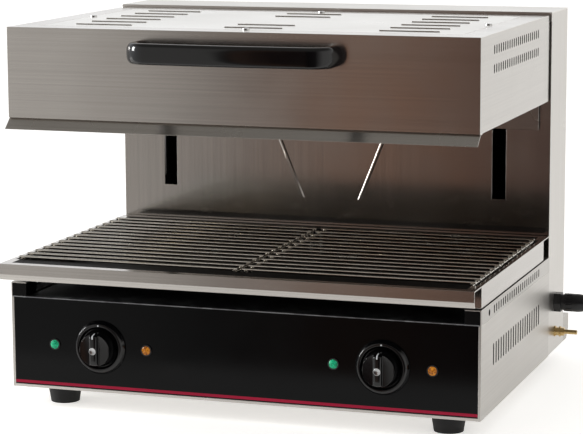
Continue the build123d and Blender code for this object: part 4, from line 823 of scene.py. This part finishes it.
world = bpy.data.worlds.new("studio")
world.use_nodes = True
tree = world.node_tree
tree.nodes.clear()
way = add(tree, "ShaderNodeTexCoord").outputs["Generated"]
axes = add(tree, "ShaderNodeSeparateXYZ", {0: way})
ahead = add(tree, "ShaderNodeMath", {0: axes.outputs["Y"], 1: -1.0}, operation="MULTIPLY")
bearing = add(tree, "ShaderNodeMath", {0: axes.outputs["X"], 1: ahead.outputs[0]},
              operation="ARCTAN2").outputs[0]
# round the room: 0 and 1 are straight behind, 0.25 the left, 0.5 straight in front
round_room = add(tree, "ShaderNodeMapRange", {0: bearing, 1: -np.pi, 2: np.pi}).outputs[0]
ramp = add(tree, "ShaderNodeValToRGB", {0: round_room})
walls = ramp.color_ramp
walls.elements[0].color = (1.18, 1.18, 1.18, 1.0)
walls.elements[1].color = (1.2, 1.19, 1.17, 1.0)
for bearing_degrees, shade in ((-110, (0.95, 0.97, 1.0)), (-70, (0.8, 0.81, 0.83)),
                               (-30, (0.68, 0.66, 0.64)), (-22.5, (0.66, 0.65, 0.63)),
                               (-20.8, (0.12, 0.12, 0.12)), (-19.2, (0.05, 0.045, 0.045)),
                               (-17.8, (0.38, 0.21, 0.14)), (-16, (0.32, 0.18, 0.12)),
                               (-14, (0.08, 0.05, 0.045)), (0, (0.04, 0.03, 0.03)),
                               (30, (0.08, 0.07, 0.07)), (60, (0.9, 0.88, 0.86)),
                               (110, (1.0, 0.98, 0.96))):
    walls.elements.new(bearing_degrees / 360 + 0.5).color = (*shade, 1.0)
overhead = add(tree, "ShaderNodeMapRange", {0: axes.outputs["Z"], 1: 0.35, 2: 0.8},
               interpolation_type="SMOOTHSTEP").outputs[0]
room = add(tree, "ShaderNodeMix", {0: overhead, 6: ramp.outputs["Color"],
                                   7: (0.27, 0.26, 0.245, 1.0)}, data_type="RGBA").outputs[2]
rays = add(tree, "ShaderNodeLightPath")
spread = add(tree, "ShaderNodeMix", {0: rays.outputs["Is Diffuse Ray"], 6: room,
                                     7: (0.72, 0.72, 0.72, 1.0)}, data_type="RGBA").outputs[2]
shown = add(tree, "ShaderNodeMath", {0: rays.outputs["Is Camera Ray"],
                                     1: rays.outputs["Is Transmission Ray"]}, operation="MAXIMUM")
seen = add(tree, "ShaderNodeMix", {0: shown.outputs[0], 6: spread, 7: (1.0, 1.0, 1.0, 1.0)},
           data_type="RGBA").outputs[2]
sky = add(tree, "ShaderNodeBackground", {"Color": seen, "Strength": 1.0})
add(tree, "ShaderNodeOutputWorld", {"Surface": sky.outputs[0]})
bpy.context.scene.world = world


def lamp(name, place, size, power, aim):
    """A soft lamp of a width and height at a place, aimed at a point."""
    light = bpy.data.lights.new(name, "AREA")
    light.shape = "RECTANGLE"
    light.size, light.size_y = size
    light.energy = power
    piece = bpy.data.objects.new(name, light)
    bpy.context.scene.collection.objects.link(piece)
    piece.rotation_euler = (Vector(aim) - Vector(place)).to_track_quat("-Z", "Y").to_euler()
    piece.location = place


lamp("left_window", (-3.0, -0.9, 1.0), (0.6, 1.1), 60.0, (0.0, 0.0, 0.2))

camera = bpy.data.cameras.new("camera")
camera.lens = 140.83
camera.sensor_width = 36.0
eye = bpy.data.objects.new("camera", camera)
bpy.context.scene.collection.objects.link(eye)
heading, dip, tilt = radians(18.767), radians(9.198), radians(-0.243)
eye.matrix_world = (Matrix.Translation((0.903046, -2.747537, 0.688002))
                    @ Matrix.Rotation(heading, 4, "Z")
                    @ Matrix.Rotation(radians(90) - dip, 4, "X")
                    @ Matrix.Rotation(tilt, 4, "Z"))
bpy.context.scene.camera = eye
bpy.context.scene.view_settings.view_transform = "Standard"
